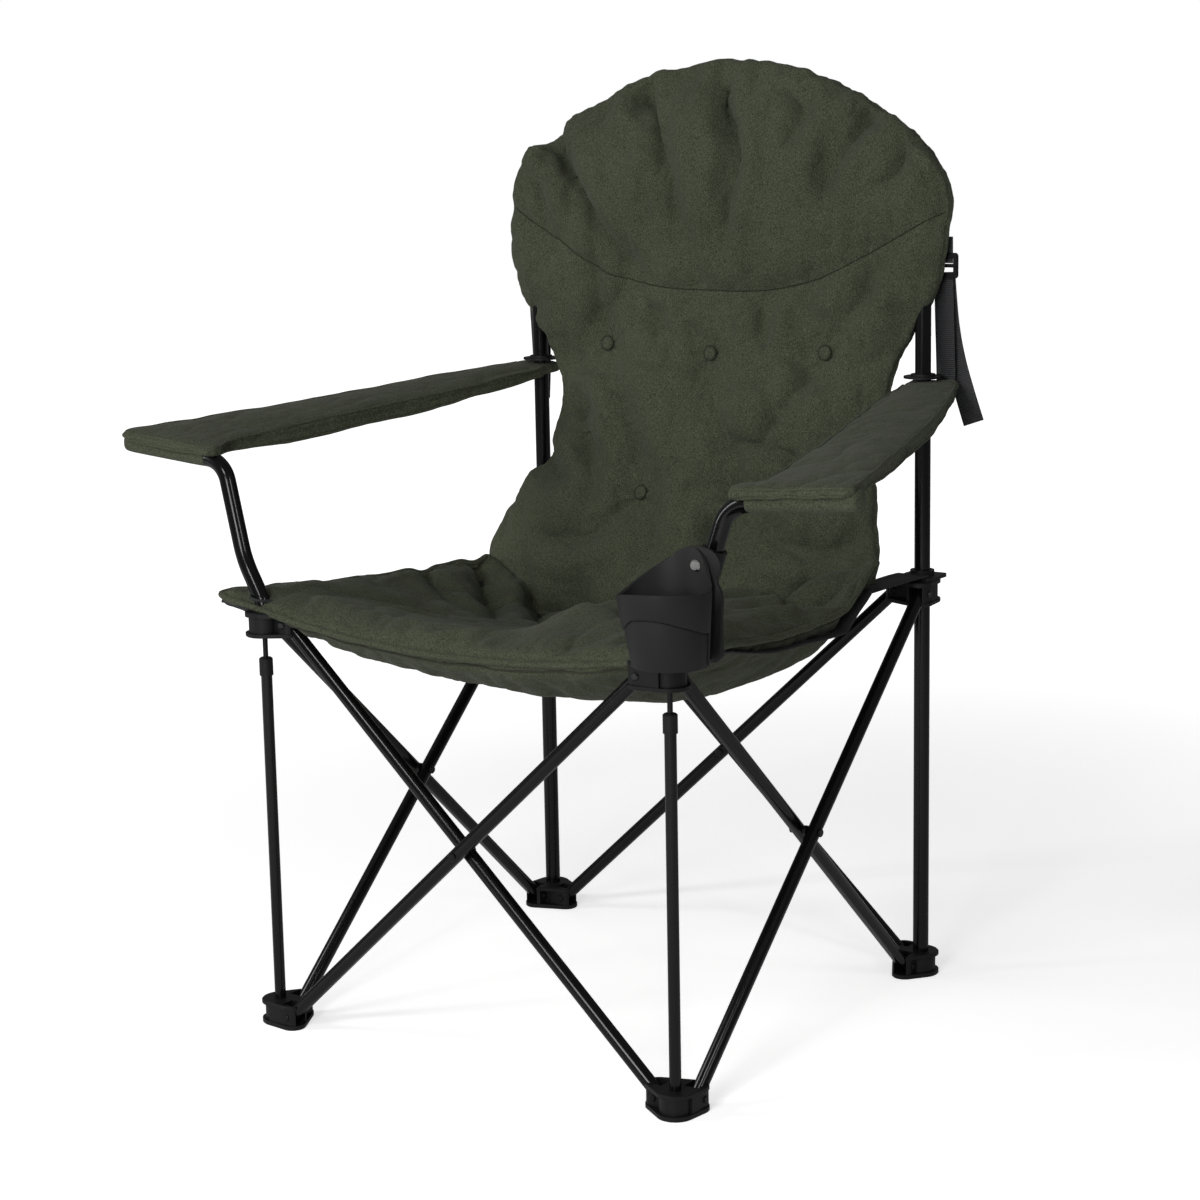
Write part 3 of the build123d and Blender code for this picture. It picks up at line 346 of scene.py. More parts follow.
def lay_on(path: np.ndarray, surface: BVHTree, lift: float) -> np.ndarray:
    """Moves a path to the nearest points of a surface, stands it off by a lift and evens it out."""
    rows = []
    for point in path:
        spot, normal, _, _ = surface.find_nearest(Vector(point))
        rows.append(spot + normal * lift)
    laid = np.array(rows)
    for _ in range(EVEN_PASSES):
        laid[1:-1] = (laid[:-2] + 2 * laid[1:-1] + laid[2:]) / 4
    return laid


def trim_on(
    surface: BVHTree, name: str, line: np.ndarray, cord: Flat, closed: bool = False
) -> bpy.types.Object:
    """Makes a cord along a line on a surface, from how far it stands off and its radius."""
    return tube_along(name, lay_on(line, surface, cord[0]), cord[1], closed)


# Finishes


@dataclass(frozen=True)
class Finish:
    """A finish by name, made once and shared."""

    name: str

    def start(self) -> tuple[bpy.types.NodeTree, bpy.types.Node, bpy.types.NodeSocket]:
        """Makes the empty material.

        Returns:
            Its node tree, its shader and its object coordinates.
        """
        material = bpy.data.materials.new(self.name)
        material.use_nodes = True
        tree = material.node_tree
        shader = tree.nodes["Principled BSDF"]
        coords = add_node(tree, "ShaderNodeTexCoord", {}, {})
        return tree, shader, coords.outputs["Object"]

    def material(self) -> bpy.types.Material:
        """The finish's material, made on first use."""
        made = bpy.data.materials.get(self.name)
        if made is None:
            self.paint()
            made = bpy.data.materials[self.name]
        return made

    def paint(self) -> None:
        """Builds the material's nodes."""
        raise NotImplementedError

    def colour_and_bump(
        self,
        tree: bpy.types.NodeTree,
        shader: bpy.types.Node,
        pattern: bpy.types.NodeSocket,
        colours: tuple[str, str],
        relief: tuple[bpy.types.NodeSocket, float, float],
    ) -> None:
        """Mixes two colours by a pattern, and raises a bump by its height, strength and distance."""
        low, high = (linear(code) for code in colours)
        height, strength, distance = relief
        colour = add_node(tree, "ShaderNodeMix", {"data_type": "RGBA"}, {"Factor": pattern, 6: low, 7: high})
        bump = add_node(
            tree, "ShaderNodeBump", {}, {"Height": height, "Strength": strength, "Distance": distance}
        )
        tree.links.new(colour.outputs[2], shader.inputs["Base Color"])
        tree.links.new(bump.outputs[0], shader.inputs["Normal"])


@dataclass(frozen=True)
class HeatherPolyester(Finish):
    """Woven polyester with mixed yarns: dark and pale threads give short flecks both ways, with a dull sheen.

    The threads are 0.6 mm apart, and a fleck is a run of one pale or dark yarn.
    """

    name: str = "heathered_polyester_weave"
    dark: str = "262a1f"
    pale: str = "525645"
    thread: float = 0.6 * MM
    fleck: float = 2.1 * MM
    shade: float = 120.0 * MM
    shade_share: float = 0.16
    dark_at: float = 0.87
    pale_at: float = 1.29
    bump: float = 0.3
    roughness: float = 0.9
    shine: float = 0.15
    sheen: float = 0.05
    sheen_spread: float = 0.5

    def paint(self) -> None:
        """Flecks along both thread directions, a slow drift of shade, and a fine weave bump."""
        tree, shader, coords = self.start()
        across, along = 1 / self.thread, 1 / self.fleck
        flecks = []
        for scale in ((across, along, along), (along, across, across)):
            spread = add_node(tree, "ShaderNodeMapping", {}, {"Vector": coords, "Scale": scale})
            inputs = {"Vector": spread.outputs[0], "Scale": 1.0, "Detail": 2.0}
            flecks.append(add_node(tree, "ShaderNodeTexNoise", {}, inputs).outputs[0])
        both = add_node(tree, "ShaderNodeMath", {"operation": "ADD"}, dict(enumerate(flecks)))
        drift = add_node(
            tree, "ShaderNodeTexNoise", {}, {"Vector": coords, "Scale": 1 / self.shade, "Detail": 1.0}
        )
        mixed = add_node(
            tree,
            "ShaderNodeMath",
            {"operation": "MULTIPLY_ADD"},
            {0: drift.outputs[0], 1: self.shade_share, 2: both.outputs[0]},
        )
        level = add_node(
            tree,
            "ShaderNodeMapRange",
            {},
            {"Value": mixed.outputs[0], "From Min": self.dark_at, "From Max": self.pale_at},
        )
        relief = (both.outputs[0], self.bump, self.thread)
        self.colour_and_bump(tree, shader, level.outputs[0], (self.dark, self.pale), relief)
        shader.inputs["Roughness"].default_value = self.roughness
        shader.inputs["Specular IOR Level"].default_value = self.shine
        shader.inputs["Sheen Weight"].default_value = self.sheen
        shader.inputs["Sheen Roughness"].default_value = self.sheen_spread


@dataclass(frozen=True)
class PackCloth(Finish):
    """Plain black pack cloth for the sling: a square weave that dulls the light."""

    name: str = "black_pack_cloth"
    colour: str = "17171a"
    pale: str = "25262a"
    thread: float = 1.6 * MM
    uneven: float = 0.4
    bump: float = 0.4
    bump_height: float = 0.3 * MM
    roughness: float = 0.8

    def paint(self) -> None:
        """A square weave in shade and bump."""
        tree, shader, coords = self.start()
        scale = math.pi / (WAVE_RATE * self.thread)
        inputs = {"Vector": coords, "Scale": scale, "Distortion": self.uneven}
        waves = [
            add_node(tree, "ShaderNodeTexWave", {"bands_direction": direction}, inputs).outputs[1]
            for direction in ("X", "Y")
        ]
        weave = add_node(tree, "ShaderNodeMath", {"operation": "MULTIPLY"}, dict(enumerate(waves)))
        relief = (weave.outputs[0], self.bump, self.bump_height)
        self.colour_and_bump(tree, shader, weave.outputs[0], (self.colour, self.pale), relief)
        shader.inputs["Roughness"].default_value = self.roughness


@dataclass(frozen=True)
class GrainFinish(Finish):
    """A hard surface with a fine grain: its bump breaks up the shine and its shade drifts a little."""

    name: str
    colour: str
    worn: str
    roughness: float
    grain: float
    grain_height: float
    metallic: float = 0.0
    shine: float = 0.35
    drift: float = 45 * MM
    uneven: float = 0.15
    bump: float = 0.3

    def paint(self) -> None:
        """A grain in bump and a slow drift in colour and roughness."""
        tree, shader, coords = self.start()
        grain = add_node(
            tree, "ShaderNodeTexNoise", {}, {"Vector": coords, "Scale": 1 / self.grain, "Detail": 2.0}
        )
        drift = add_node(
            tree, "ShaderNodeTexNoise", {}, {"Vector": coords, "Scale": 1 / self.drift, "Detail": 4.0}
        )
        relief = (grain.outputs[0], self.bump, self.grain_height)
        self.colour_and_bump(tree, shader, drift.outputs[0], (self.colour, self.worn), relief)
        rough = add_node(
            tree,
            "ShaderNodeMapRange",
            {},
            {
                "Value": drift.outputs[0],
                "To Min": self.roughness * (1 - self.uneven),
                "To Max": self.roughness * (1 + self.uneven),
            },
        )
        tree.links.new(rough.outputs[0], shader.inputs["Roughness"])
        shader.inputs["Metallic"].default_value = self.metallic
        shader.inputs["Specular IOR Level"].default_value = self.shine


@dataclass(frozen=True)
class Webbing(Finish):
    """Polypropylene webbing: cross ribs that catch the light one by one."""

    name: str = "ribbed_webbing"
    colour: str = "121214"
    pale: str = "26272a"
    rib: float = 2.4 * MM
    uneven: float = 0.3
    bump: float = 0.6
    bump_height: float = 0.5 * MM
    roughness: float = 0.6

    def paint(self) -> None:
        """Ribs across the tape's length, from its own map."""
        tree, shader, _ = self.start()
        plan = add_node(tree, "ShaderNodeUVMap", {"uv_map": "tape"}, {})
        scale = math.pi / (WAVE_RATE * self.rib)
        inputs = {"Vector": plan.outputs[0], "Scale": scale, "Distortion": self.uneven}
        ribs = add_node(tree, "ShaderNodeTexWave", {"bands_direction": "Y"}, inputs)
        relief = (ribs.outputs[1], self.bump, self.bump_height)
        self.colour_and_bump(tree, shader, ribs.outputs[1], (self.colour, self.pale), relief)
        shader.inputs["Roughness"].default_value = self.roughness


# Powder coat is baked resin with a faint orange peel, so long soft streaks of light lie along the tubes.
POWDER_COAT = GrainFinish("black_powder_coat", "070708", "0b0b0c", 0.17, 1.2 * MM, 0.025 * MM, shine=0.28)
# Moulded polyamide comes from an eroded mould, which leaves a fine even grain and a dull black.
POLYAMIDE = GrainFinish("black_moulded_polyamide", "0d0d0e", "121213", 0.5, 0.9 * MM, 0.25 * MM, shine=0.25)
# Moulded polypropylene of the cup is greyer and softer in shine than the corner mouldings.
POLYPROPYLENE = GrainFinish(
    "black_moulded_polypropylene", "1b1b1c", "202021", 0.55, 0.8 * MM, 0.2 * MM, shine=0.2
)
# Zinc plated steel shows as small bright dots in the black.
ZINC_STEEL = GrainFinish("zinc_plated_steel", "b4b4b2", "d2d2d0", 0.3, 0.7 * MM, 0.08 * MM, metallic=1.0)
# Dark plated and black oxide steel are dark metals with a tight highlight.
DARK_STEEL = GrainFinish("dark_plated_steel", "3a3a3c", "4a4a4c", 0.3, 0.7 * MM, 0.06 * MM, metallic=1.0)
BLACK_STEEL = GrainFinish("black_oxide_steel", "131314", "1c1c1e", 0.32, 0.8 * MM, 0.06 * MM, metallic=0.5)
HEATHER = HeatherPolyester()
# Dark olive thread for the stitches; the same dark finish is painted shade on the cord that lies in the
# seat's crease under the welt.
THREAD_AND_CREASE_SHADE = GrainFinish("olive_seam_thread", "1f2016", "2c2c1c", 0.7, 0.6 * MM, 0.2 * MM)
PACK_CLOTH = PackCloth()
TAPE = Webbing()


# Cloth


@dataclass(frozen=True)
class Puff:
    """A short cloth run that fills a closed cover."""

    voxel: float = 6.0 * MM
    pressure: float = 4.0
    slack: float = 0.03
    stiffness: float = 3.0
    cap: float = 16.0 * MM
    frames: int = 20
    quality: int = 4
    quick_share: float = 0.4

    def remesh(self, obj: bpy.types.Object) -> None:
        """Gives the cover an even mesh."""
        grid = obj.modifiers.new("even", "REMESH")
        grid.mode = "VOXEL"
        grid.voxel_size = self.voxel
        settle(obj)

    def fill(self, obj: bpy.types.Object, held: Callable[[bpy.types.Object], np.ndarray]) -> None:
        """Evens out an empty cover, fills it where it isn't held, and gives it a finer mesh."""
        self.remesh(obj)
        self.run(obj, held(obj))
        subdivide(obj, 1)

    def run(self, obj: bpy.types.Object, pins: np.ndarray) -> None:
        """Fills the cover, and keeps each point within the cap of where it was.

        Args:
            obj: The cover, already remeshed.
            pins: How firmly each point is held, from 0 to 1.
        """
        rest = get_points(obj)
        group = obj.vertex_groups.new(name="held")
        for level in np.unique(np.round(pins, 1)):
            chosen = np.flatnonzero(np.round(pins, 1) == level)
            if level > 0:
                group.add(chosen.tolist(), float(level), "REPLACE")
        cloth = obj.modifiers.new("cloth", "CLOTH")
        cloth.settings.use_pressure = True
        cloth.settings.uniform_pressure_force = self.pressure
        cloth.settings.effector_weights.gravity = 0
        cloth.settings.shrink_min = -self.slack
        cloth.settings.bending_stiffness = self.stiffness
        cloth.settings.vertex_group_mass = group.name
        cloth.settings.quality = self.quality
        cloth.point_cache.frame_end = self.frames
        scene = bpy.context.scene
        for step in range(1, self.frames + 1):
            scene.frame_set(step)
        settle(obj)
        obj.vertex_groups.clear()
        scene.frame_set(1)
        moved = get_points(obj) - rest
        length = np.linalg.norm(moved, axis=1, keepdims=True)
        set_points(obj, rest + moved * np.minimum(1, self.cap / np.maximum(length, 1e-9)))


@dataclass(frozen=True)
class Fold:
    """A line pressed into a pad, seen along one axis: the cloth dips there and rises beside it."""

    points: tuple[Flat, ...]
    depth: float
    width: float
    open_start: bool = False
    steps: int = 24
    reach: float = 6.0
    tip: float = 0.04
    fade: float = 0.6
    ridge_at: float = 2.6
    ridge_wide: float = 1.4
    ridge_share: float = 0.3

    def dent(self, plan: np.ndarray) -> np.ndarray:
        """How far the fold moves each point outwards, for points seen along the fold's axis."""
        path = path_through(self.points, self.steps)
        reach = self.reach * self.width
        near = np.flatnonzero(np.all((plan > path.min(0) - reach) & (plan < path.max(0) + reach), axis=1))
        away, share = distance_to_path(plan[near], path)
        fade = np.sin(np.pi * np.clip(share, self.tip, 1 - self.tip)) ** self.fade
        if self.open_start:
            fade = np.cos(np.pi / 2 * np.clip(share, 0, 1 - self.tip)) ** self.fade
        valley = np.exp(-away / self.width)
        ridge = bell(away - self.ridge_at * self.width, self.ridge_share, self.ridge_wide * self.width)
        move = np.zeros(len(plan))
        move[near] = self.depth * fade * (ridge - valley)
        return move


@dataclass(frozen=True)
class Tuft:
    """A point where a pad is pulled in, with short puckers round it."""

    place: Flat
    depth: float
    radius: float
    floor: float = 0.0095
    puckers: int = 7
    ring_wide: float = 0.7
    ring_share: float = 0.3
    swirl: float = 1.7
    swirl_turn: float = 40.0

    def dent(self, plan: np.ndarray) -> np.ndarray:
        """How far the tuft moves each point outwards, as for a fold."""
        offset = plan - np.asarray(self.place)
        away = np.linalg.norm(offset, axis=1)
        turn = np.arctan2(offset[:, 1], offset[:, 0])
        rim = np.maximum(0, away - self.floor)
        pull = bell(rim, self.depth, self.radius)
        ring = bell(away - self.radius, self.ring_share * self.depth, self.ring_wide * self.radius)
        bent = self.swirl * np.sin(turn + self.place[0] * self.swirl_turn)
        return ring * np.cos(self.puckers * turn + bent) - pull


@dataclass(frozen=True)
class Crumple:
    """Small random wrinkles of a slack cover."""

    size: float
    height: float
    seed: int
    stretch: Point = (1.0, 1.0, 1.0)
    bend_size: float = 2.2
    bend: float = 0.5
    fine_size: float = 0.45
    fine_share: float = 0.4
    fine_seed: int = 7
    level: float = 0.75

    def dent(self, points: np.ndarray) -> np.ndarray:
        """How far the wrinkles move each point outwards: sharp valleys between soft swells."""
        spread = points * np.asarray(self.stretch)
        bent = [value_noise(spread, self.bend_size * self.size, self.seed + k) for k in (1, 2, 3)]
        warped = spread + self.bend * self.size * np.stack(bent, axis=1)
        coarse = np.abs(value_noise(warped, self.size, self.seed))
        fine = np.abs(value_noise(warped, self.fine_size * self.size, self.seed + self.fine_seed))
        return self.height * (np.sqrt(coarse) + self.fine_share * np.sqrt(fine) - self.level)


@dataclass(frozen=True)
class Gather:
    """The small gathers of cloth beside a sewn line: coarse swings with finer ones on them."""

    height: float
    width: float
    coarse: float
    fine: float
    fine_share: float
    seed: int
    beside: float = 0.0

    def dent(self, points: np.ndarray, away: np.ndarray) -> np.ndarray:
        """How far the gathers move each point outwards, by its distance from the sewn line."""
        swing = value_noise(points, self.coarse, self.seed)
        swing += self.fine_share * value_noise(points, self.fine, self.seed + 2)
        return swing * bell(away - self.beside, self.height, self.width)


def press(obj: bpy.types.Object, dents: np.ndarray, weight: np.ndarray) -> None:
    """Moves each point of a pad along its normal."""
    set_points(obj, get_points(obj) + get_normals(obj) * (dents * weight)[:, None])


@dataclass(frozen=True)
class Landmarks:
    """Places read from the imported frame."""

    pole_x: float
    pole_y: float
    hub_top: float
    front_y: float
    fold_y: float

    @classmethod
    def read(cls) -> "Landmarks":
        """Reads them from the nodes' boxes."""
        low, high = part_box("right_back_pole")
        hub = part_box("rear_right_hub")[1]
        strut_low, strut_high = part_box("front_right_strut_tube")
        fold = (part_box("seat_pad_front")[1].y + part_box("seat_pad_rear")[0].y) / 2
        return cls(
            (low.x + high.x) / 2, (low.y + high.y) / 2, hub.z, (strut_low.y + strut_high.y) / 2, fold
        )


MARKS = Landmarks.read()


# Geometry Nodes


class StitchTree:
    """A node tree that sews stitches along the edges of a mesh."""

    NAME = "sew_stitches"
    SIDES = 6
    SEGMENTS = 2

    @classmethod
    def get(cls) -> bpy.types.NodeTree:
        """The tree, made on first use, with inputs for the stitch's pitch, length, width and thread."""
        made = bpy.data.node_groups.get(cls.NAME)
        if made is not None:
            return made
        tree = bpy.data.node_groups.new(cls.NAME, "GeometryNodeTree")
        face = tree.interface
        face.new_socket("Geometry", in_out="INPUT", socket_type="NodeSocketGeometry")
        for name in ("Pitch", "Length", "Width"):
            face.new_socket(name, in_out="INPUT", socket_type="NodeSocketFloat")
        face.new_socket("Thread", in_out="INPUT", socket_type="NodeSocketMaterial")
        face.new_socket("Geometry", in_out="OUTPUT", socket_type="NodeSocketGeometry")
        given = add_node(tree, "NodeGroupInput", {}, {})
        line = add_node(tree, "GeometryNodeMeshToCurve", {}, {"Mesh": given.outputs["Geometry"]})
        even = add_node(
            tree,
            "GeometryNodeResampleCurve",
            {"mode": "LENGTH"},
            {"Curve": line.outputs[0], "Length": given.outputs["Pitch"]},
        )
        tangent = add_node(tree, "GeometryNodeInputTangent", {}, {})
        turn = add_node(
            tree, "FunctionNodeAlignRotationToVector", {"axis": "Z"}, {"Vector": tangent.outputs[0]}
        )
        thread = add_node(
            tree,
            "GeometryNodeMeshCylinder",
            {},
            {
                "Vertices": cls.SIDES,
                "Side Segments": cls.SEGMENTS,
                "Radius": given.outputs["Width"],
                "Depth": given.outputs["Length"],
            },
        )
        sewn = add_node(
            tree,
            "GeometryNodeInstanceOnPoints",
            {},
            {"Points": even.outputs[0], "Instance": thread.outputs[0], "Rotation": turn.outputs[0]},
        )
        real = add_node(tree, "GeometryNodeRealizeInstances", {}, {"Geometry": sewn.outputs[0]})
        dyed = add_node(
            tree,
            "GeometryNodeSetMaterial",
            {},
            {"Geometry": real.outputs[0], "Material": given.outputs["Thread"]},
        )
        add_node(tree, "NodeGroupOutput", {}, {"Geometry": dyed.outputs[0]})
        return tree

    @classmethod
    def sew(cls, name: str, line: np.ndarray, pitch: float, length: float, width: float) -> bpy.types.Object:
        """Sews stitches of a pitch, a length and a radius along a line of points, as one plain mesh."""
        mesh = bpy.data.meshes.new(name)
        mesh.from_pydata([tuple(p) for p in line], [(i, i + 1) for i in range(len(line) - 1)], [])
        obj = link_object(name, mesh)
        tree = cls.get()
        sewing = obj.modifiers.new("sew", "NODES")
        sewing.node_group = tree
        values = {"Pitch": pitch, "Length": length, "Width": width, "Thread": THREAD_AND_CREASE_SHADE.material()}
        for item in tree.interface.items_tree:
            if item.in_out == "INPUT" and item.name in values:
                sewing[item.identifier] = values[item.name]
        settle(obj)
        return obj


# Hard pieces


class FrameSet:
    """The tubes, mouldings and fasteners: smooth copies of the frame's nodes with their real finishes."""

    SHARP = math.radians(32)
    MERGE = 0.01 * MM

    FINISHES: tuple[tuple[str, GrainFinish, str], ...] = (
        ("cup_holder_rivet", ZINC_STEEL, "bright_rivet"),
        ("cup_holder_clamp", POLYAMIDE, "moulded_plastic"),
        ("hub_pins", DARK_STEEL, "pin_steel"),
        ("foot_pins", BLACK_STEEL, "pin_steel"),
        ("cross_rivet", BLACK_STEEL, "pin_steel"),
        ("strut_rod", BLACK_STEEL, "rod_steel"),
        ("strut_collar", POLYAMIDE, "moulded_plastic"),
        ("strut_tube", POWDER_COAT, "coated_tube"),
        ("leg", POWDER_COAT, "coated_tube"),
        ("back_pole", POWDER_COAT, "coated_tube"),
        ("arm_post", POWDER_COAT, "coated_tube"),
        ("foot", POLYAMIDE, "moulded_plastic"),
        ("hub", POLYAMIDE, "moulded_plastic"),
        ("pole_cap", POLYAMIDE, "moulded_plastic"),
        ("arm_ring", POLYAMIDE, "moulded_plastic"),
        ("corner_plate", POLYAMIDE, "moulded_plastic"),
        ("buckle", POLYAMIDE, "moulded_plastic"),
    )

    def build(self) -> None:
        """Makes a smooth copy of each hard node and gives it its finish."""
        for node, source in frame["nodes"].items():
            match = next((row for row in self.FINISHES if node.endswith(row[0])), None)
            if match is not None:
                self.copy(node, source, match[1], match[2])

    def copy(self, node: str, source: bpy.types.Object, finish: GrainFinish, slot: str) -> None:
        """Makes one smooth copy that stands for a node, with its finish."""
        mesh = source.data.copy()
        shape = bmesh.new()
        shape.from_mesh(mesh)
        bmesh.ops.remove_doubles(shape, verts=shape.verts, dist=self.MERGE)
        for edge in shape.edges:
            edge.smooth = len(edge.link_faces) == 2 and edge.calc_face_angle(0) < self.SHARP
        shape.to_mesh(mesh)
        shape.free()
        mesh.shade_smooth()
        obj = link_object(f"{node}_shell", mesh)
        if mesh.has_custom_normals:
            mesh.normals_split_custom_set([(0, 0, 0)] * len(mesh.loops))
        for polygon in mesh.polygons:
            polygon.material_index = 0
        dress(obj, finish.material(), slot)
        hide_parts(node)
        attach(obj, source["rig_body"])


@dataclass
class CupHolder:
    """The moulded cup: a tapered wall with a waved band, a handle slot and a back that rises to the rivet."""

    floor: float = 0.007
    height: float = 0.085
    low_radius: float = 0.0405
    top_radius: float = 0.050
    back_lean: float = 0.0095
    wall: float = 0.0026
    band: float = 0.0020
    groove: float = 0.0016
    slot: tuple[float, float] = (15.0, 50.0)
    slot_floor: float = 0.014
    slot_gap: float = 0.4
    slot_steps: int = 10
    wall_steps: int = 150
    floor_steps: int = 64
    plate_steps: int = 120
    band_least: float = 0.004
    groove_edge: float = 0.1
    # the rim's height and the band's lower edge, by the angle from the right, counted over the back
    rim: tuple[Flat, ...] = (
        (15, 0.0853), (50, 0.0860), (66, 0.1130), (81, 0.1218), (90, 0.1203), (105, 0.1153),
        (120, 0.1087), (135, 0.1010), (150, 0.0933), (180, 0.0816), (215, 0.0800), (240, 0.0850),
        (268, 0.0878), (305, 0.0884), (342, 0.0868), (375, 0.0853),
    )
    wave: tuple[Flat, ...] = (
        (15, 0.0425), (120, 0.0440), (180, 0.0460), (228, 0.0490), (241, 0.0540), (255, 0.0600),
        (270, 0.0620), (303, 0.0600), (322, 0.0550), (340, 0.0500), (355, 0.0457), (375, 0.0425),
    )
    # the flat back plate seen from the front: distance to the right of the cup's middle, and height
    plate: tuple[Flat, ...] = (
        (0.038, 0.012), (0.038, 0.050), (0.0375, 0.078), (0.0330, 0.088), (0.0345, 0.096),
        (0.0372, 0.103), (0.0355, 0.111), (0.0300, 0.118), (0.0200, 0.1225), (0.0080, 0.1235),
        (-0.0060, 0.1205), (-0.0150, 0.1165), (-0.0150, 0.060), (-0.0100, 0.015), (0.0100, 0.007),
        (0.0330, 0.007),
    )
    plate_thick: float = 0.0042
    bevel: float = 0.0005
    bevel_segments: int = 2

    def middle(self) -> np.ndarray:
        """The middle of the cup's floor, from its node's box."""
        low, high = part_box("cup_holder")
        return np.array([(low.x + high.x) / 2, high.y - self.top_radius, low.z])

    def section(self, angle: float, rim: float, wave: float) -> np.ndarray:
        """One closed section of the wall at an angle in degrees: up the outside and down the inside."""
        wave = min(wave, rim - self.band_least)
        groove_low, groove_high = wave - self.groove, wave - self.groove_edge * self.groove
        groove_floor = wave - (1 - self.groove_edge) * self.groove
        corners = (
            (self.floor, 0.0),
            (groove_low, 0.0),
            (groove_floor, -self.band / 2),
            (groove_high, -self.band / 2),
            (wave, self.band),
            (rim, self.band),
            (rim, -self.wall),
            (self.floor + self.wall, -self.wall),
        )
        turn = math.radians(angle)
        rows = []
        for height, out in corners:
            share = min(height / self.height, 1.0)
            radius = self.low_radius + (self.top_radius - self.low_radius) * share + out - self.band
            back = self.back_lean * (1 - share)
            rows.append((radius * math.cos(turn), radius * math.sin(turn) + back, height))
        return np.array(rows)

    def cup_wall(self) -> bpy.types.Object:
        """The wall all round, with the slot cut down to its floor."""
        start, end = self.slot
        wall = np.linspace(end + self.slot_gap, start + 360 - self.slot_gap, self.wall_steps)
        angles = np.concatenate([np.linspace(start, end, self.slot_steps), wall])
        in_slot = angles <= end
        rim = curve_through(*zip(*self.rim), angles)
        wave = curve_through(*zip(*self.wave), angles)
        rim = np.where(in_slot, self.slot_floor, rim)
        wave = np.where(in_slot, self.slot_floor - self.band_least, wave)
        rows = [self.section(a, r, w) + self.middle() for a, r, w in zip(angles, rim, wave)]
        return loft("cup_wall", rows, closed=True)

    def cup_floor(self) -> bpy.types.Object:
        """The floor inside the wall."""
        turns = full_turn(self.floor_steps)
        radius = self.low_radius - self.band
        rows = []
        for height in (self.floor, self.floor + self.wall):
            back = self.back_lean * (1 - height / self.height)
            x, y = radius * np.cos(turns), radius * np.sin(turns) + back
            rows.append(np.stack([x, y, np.full(len(turns), height)], axis=1) + self.middle())
        return loft("cup_floor", rows)

    def back_plate(self) -> bpy.types.Object:
        """The flat back plate with the round ear for the rivet."""
        corners = [*self.plate, self.plate[0]]
        outline = path_through(corners, self.plate_steps)[:-1]
        rows = []
        for back in (self.top_radius - self.plate_thick, self.top_radius):
            ring = np.stack([outline[:, 0], np.full(len(outline), back), outline[:, 1]], axis=1)
            rows.append(ring + self.middle())
        return loft("cup_back_plate", rows)

    def build(self) -> None:
        """Makes the cup with softened edges, riding on the arm post's hub."""
        source = frame["nodes"]["cup_holder"]
        for piece in (self.cup_wall(), self.cup_floor(), self.back_plate()):
            soft = piece.modifiers.new("soft_edges", "BEVEL")
            soft.width = self.bevel
            soft.segments = self.bevel_segments
            soft.limit_method = "ANGLE"
            soft.angle_limit = FrameSet.SHARP
            settle(piece)
            piece.data.set_sharp_from_angle(angle=FrameSet.SHARP)
            dress(piece, POLYPROPYLENE.material(), "moulded_plastic")
            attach(piece, source["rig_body"])
            if piece.name == "cup_wall":
                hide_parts("cup_holder")


# Soft pieces


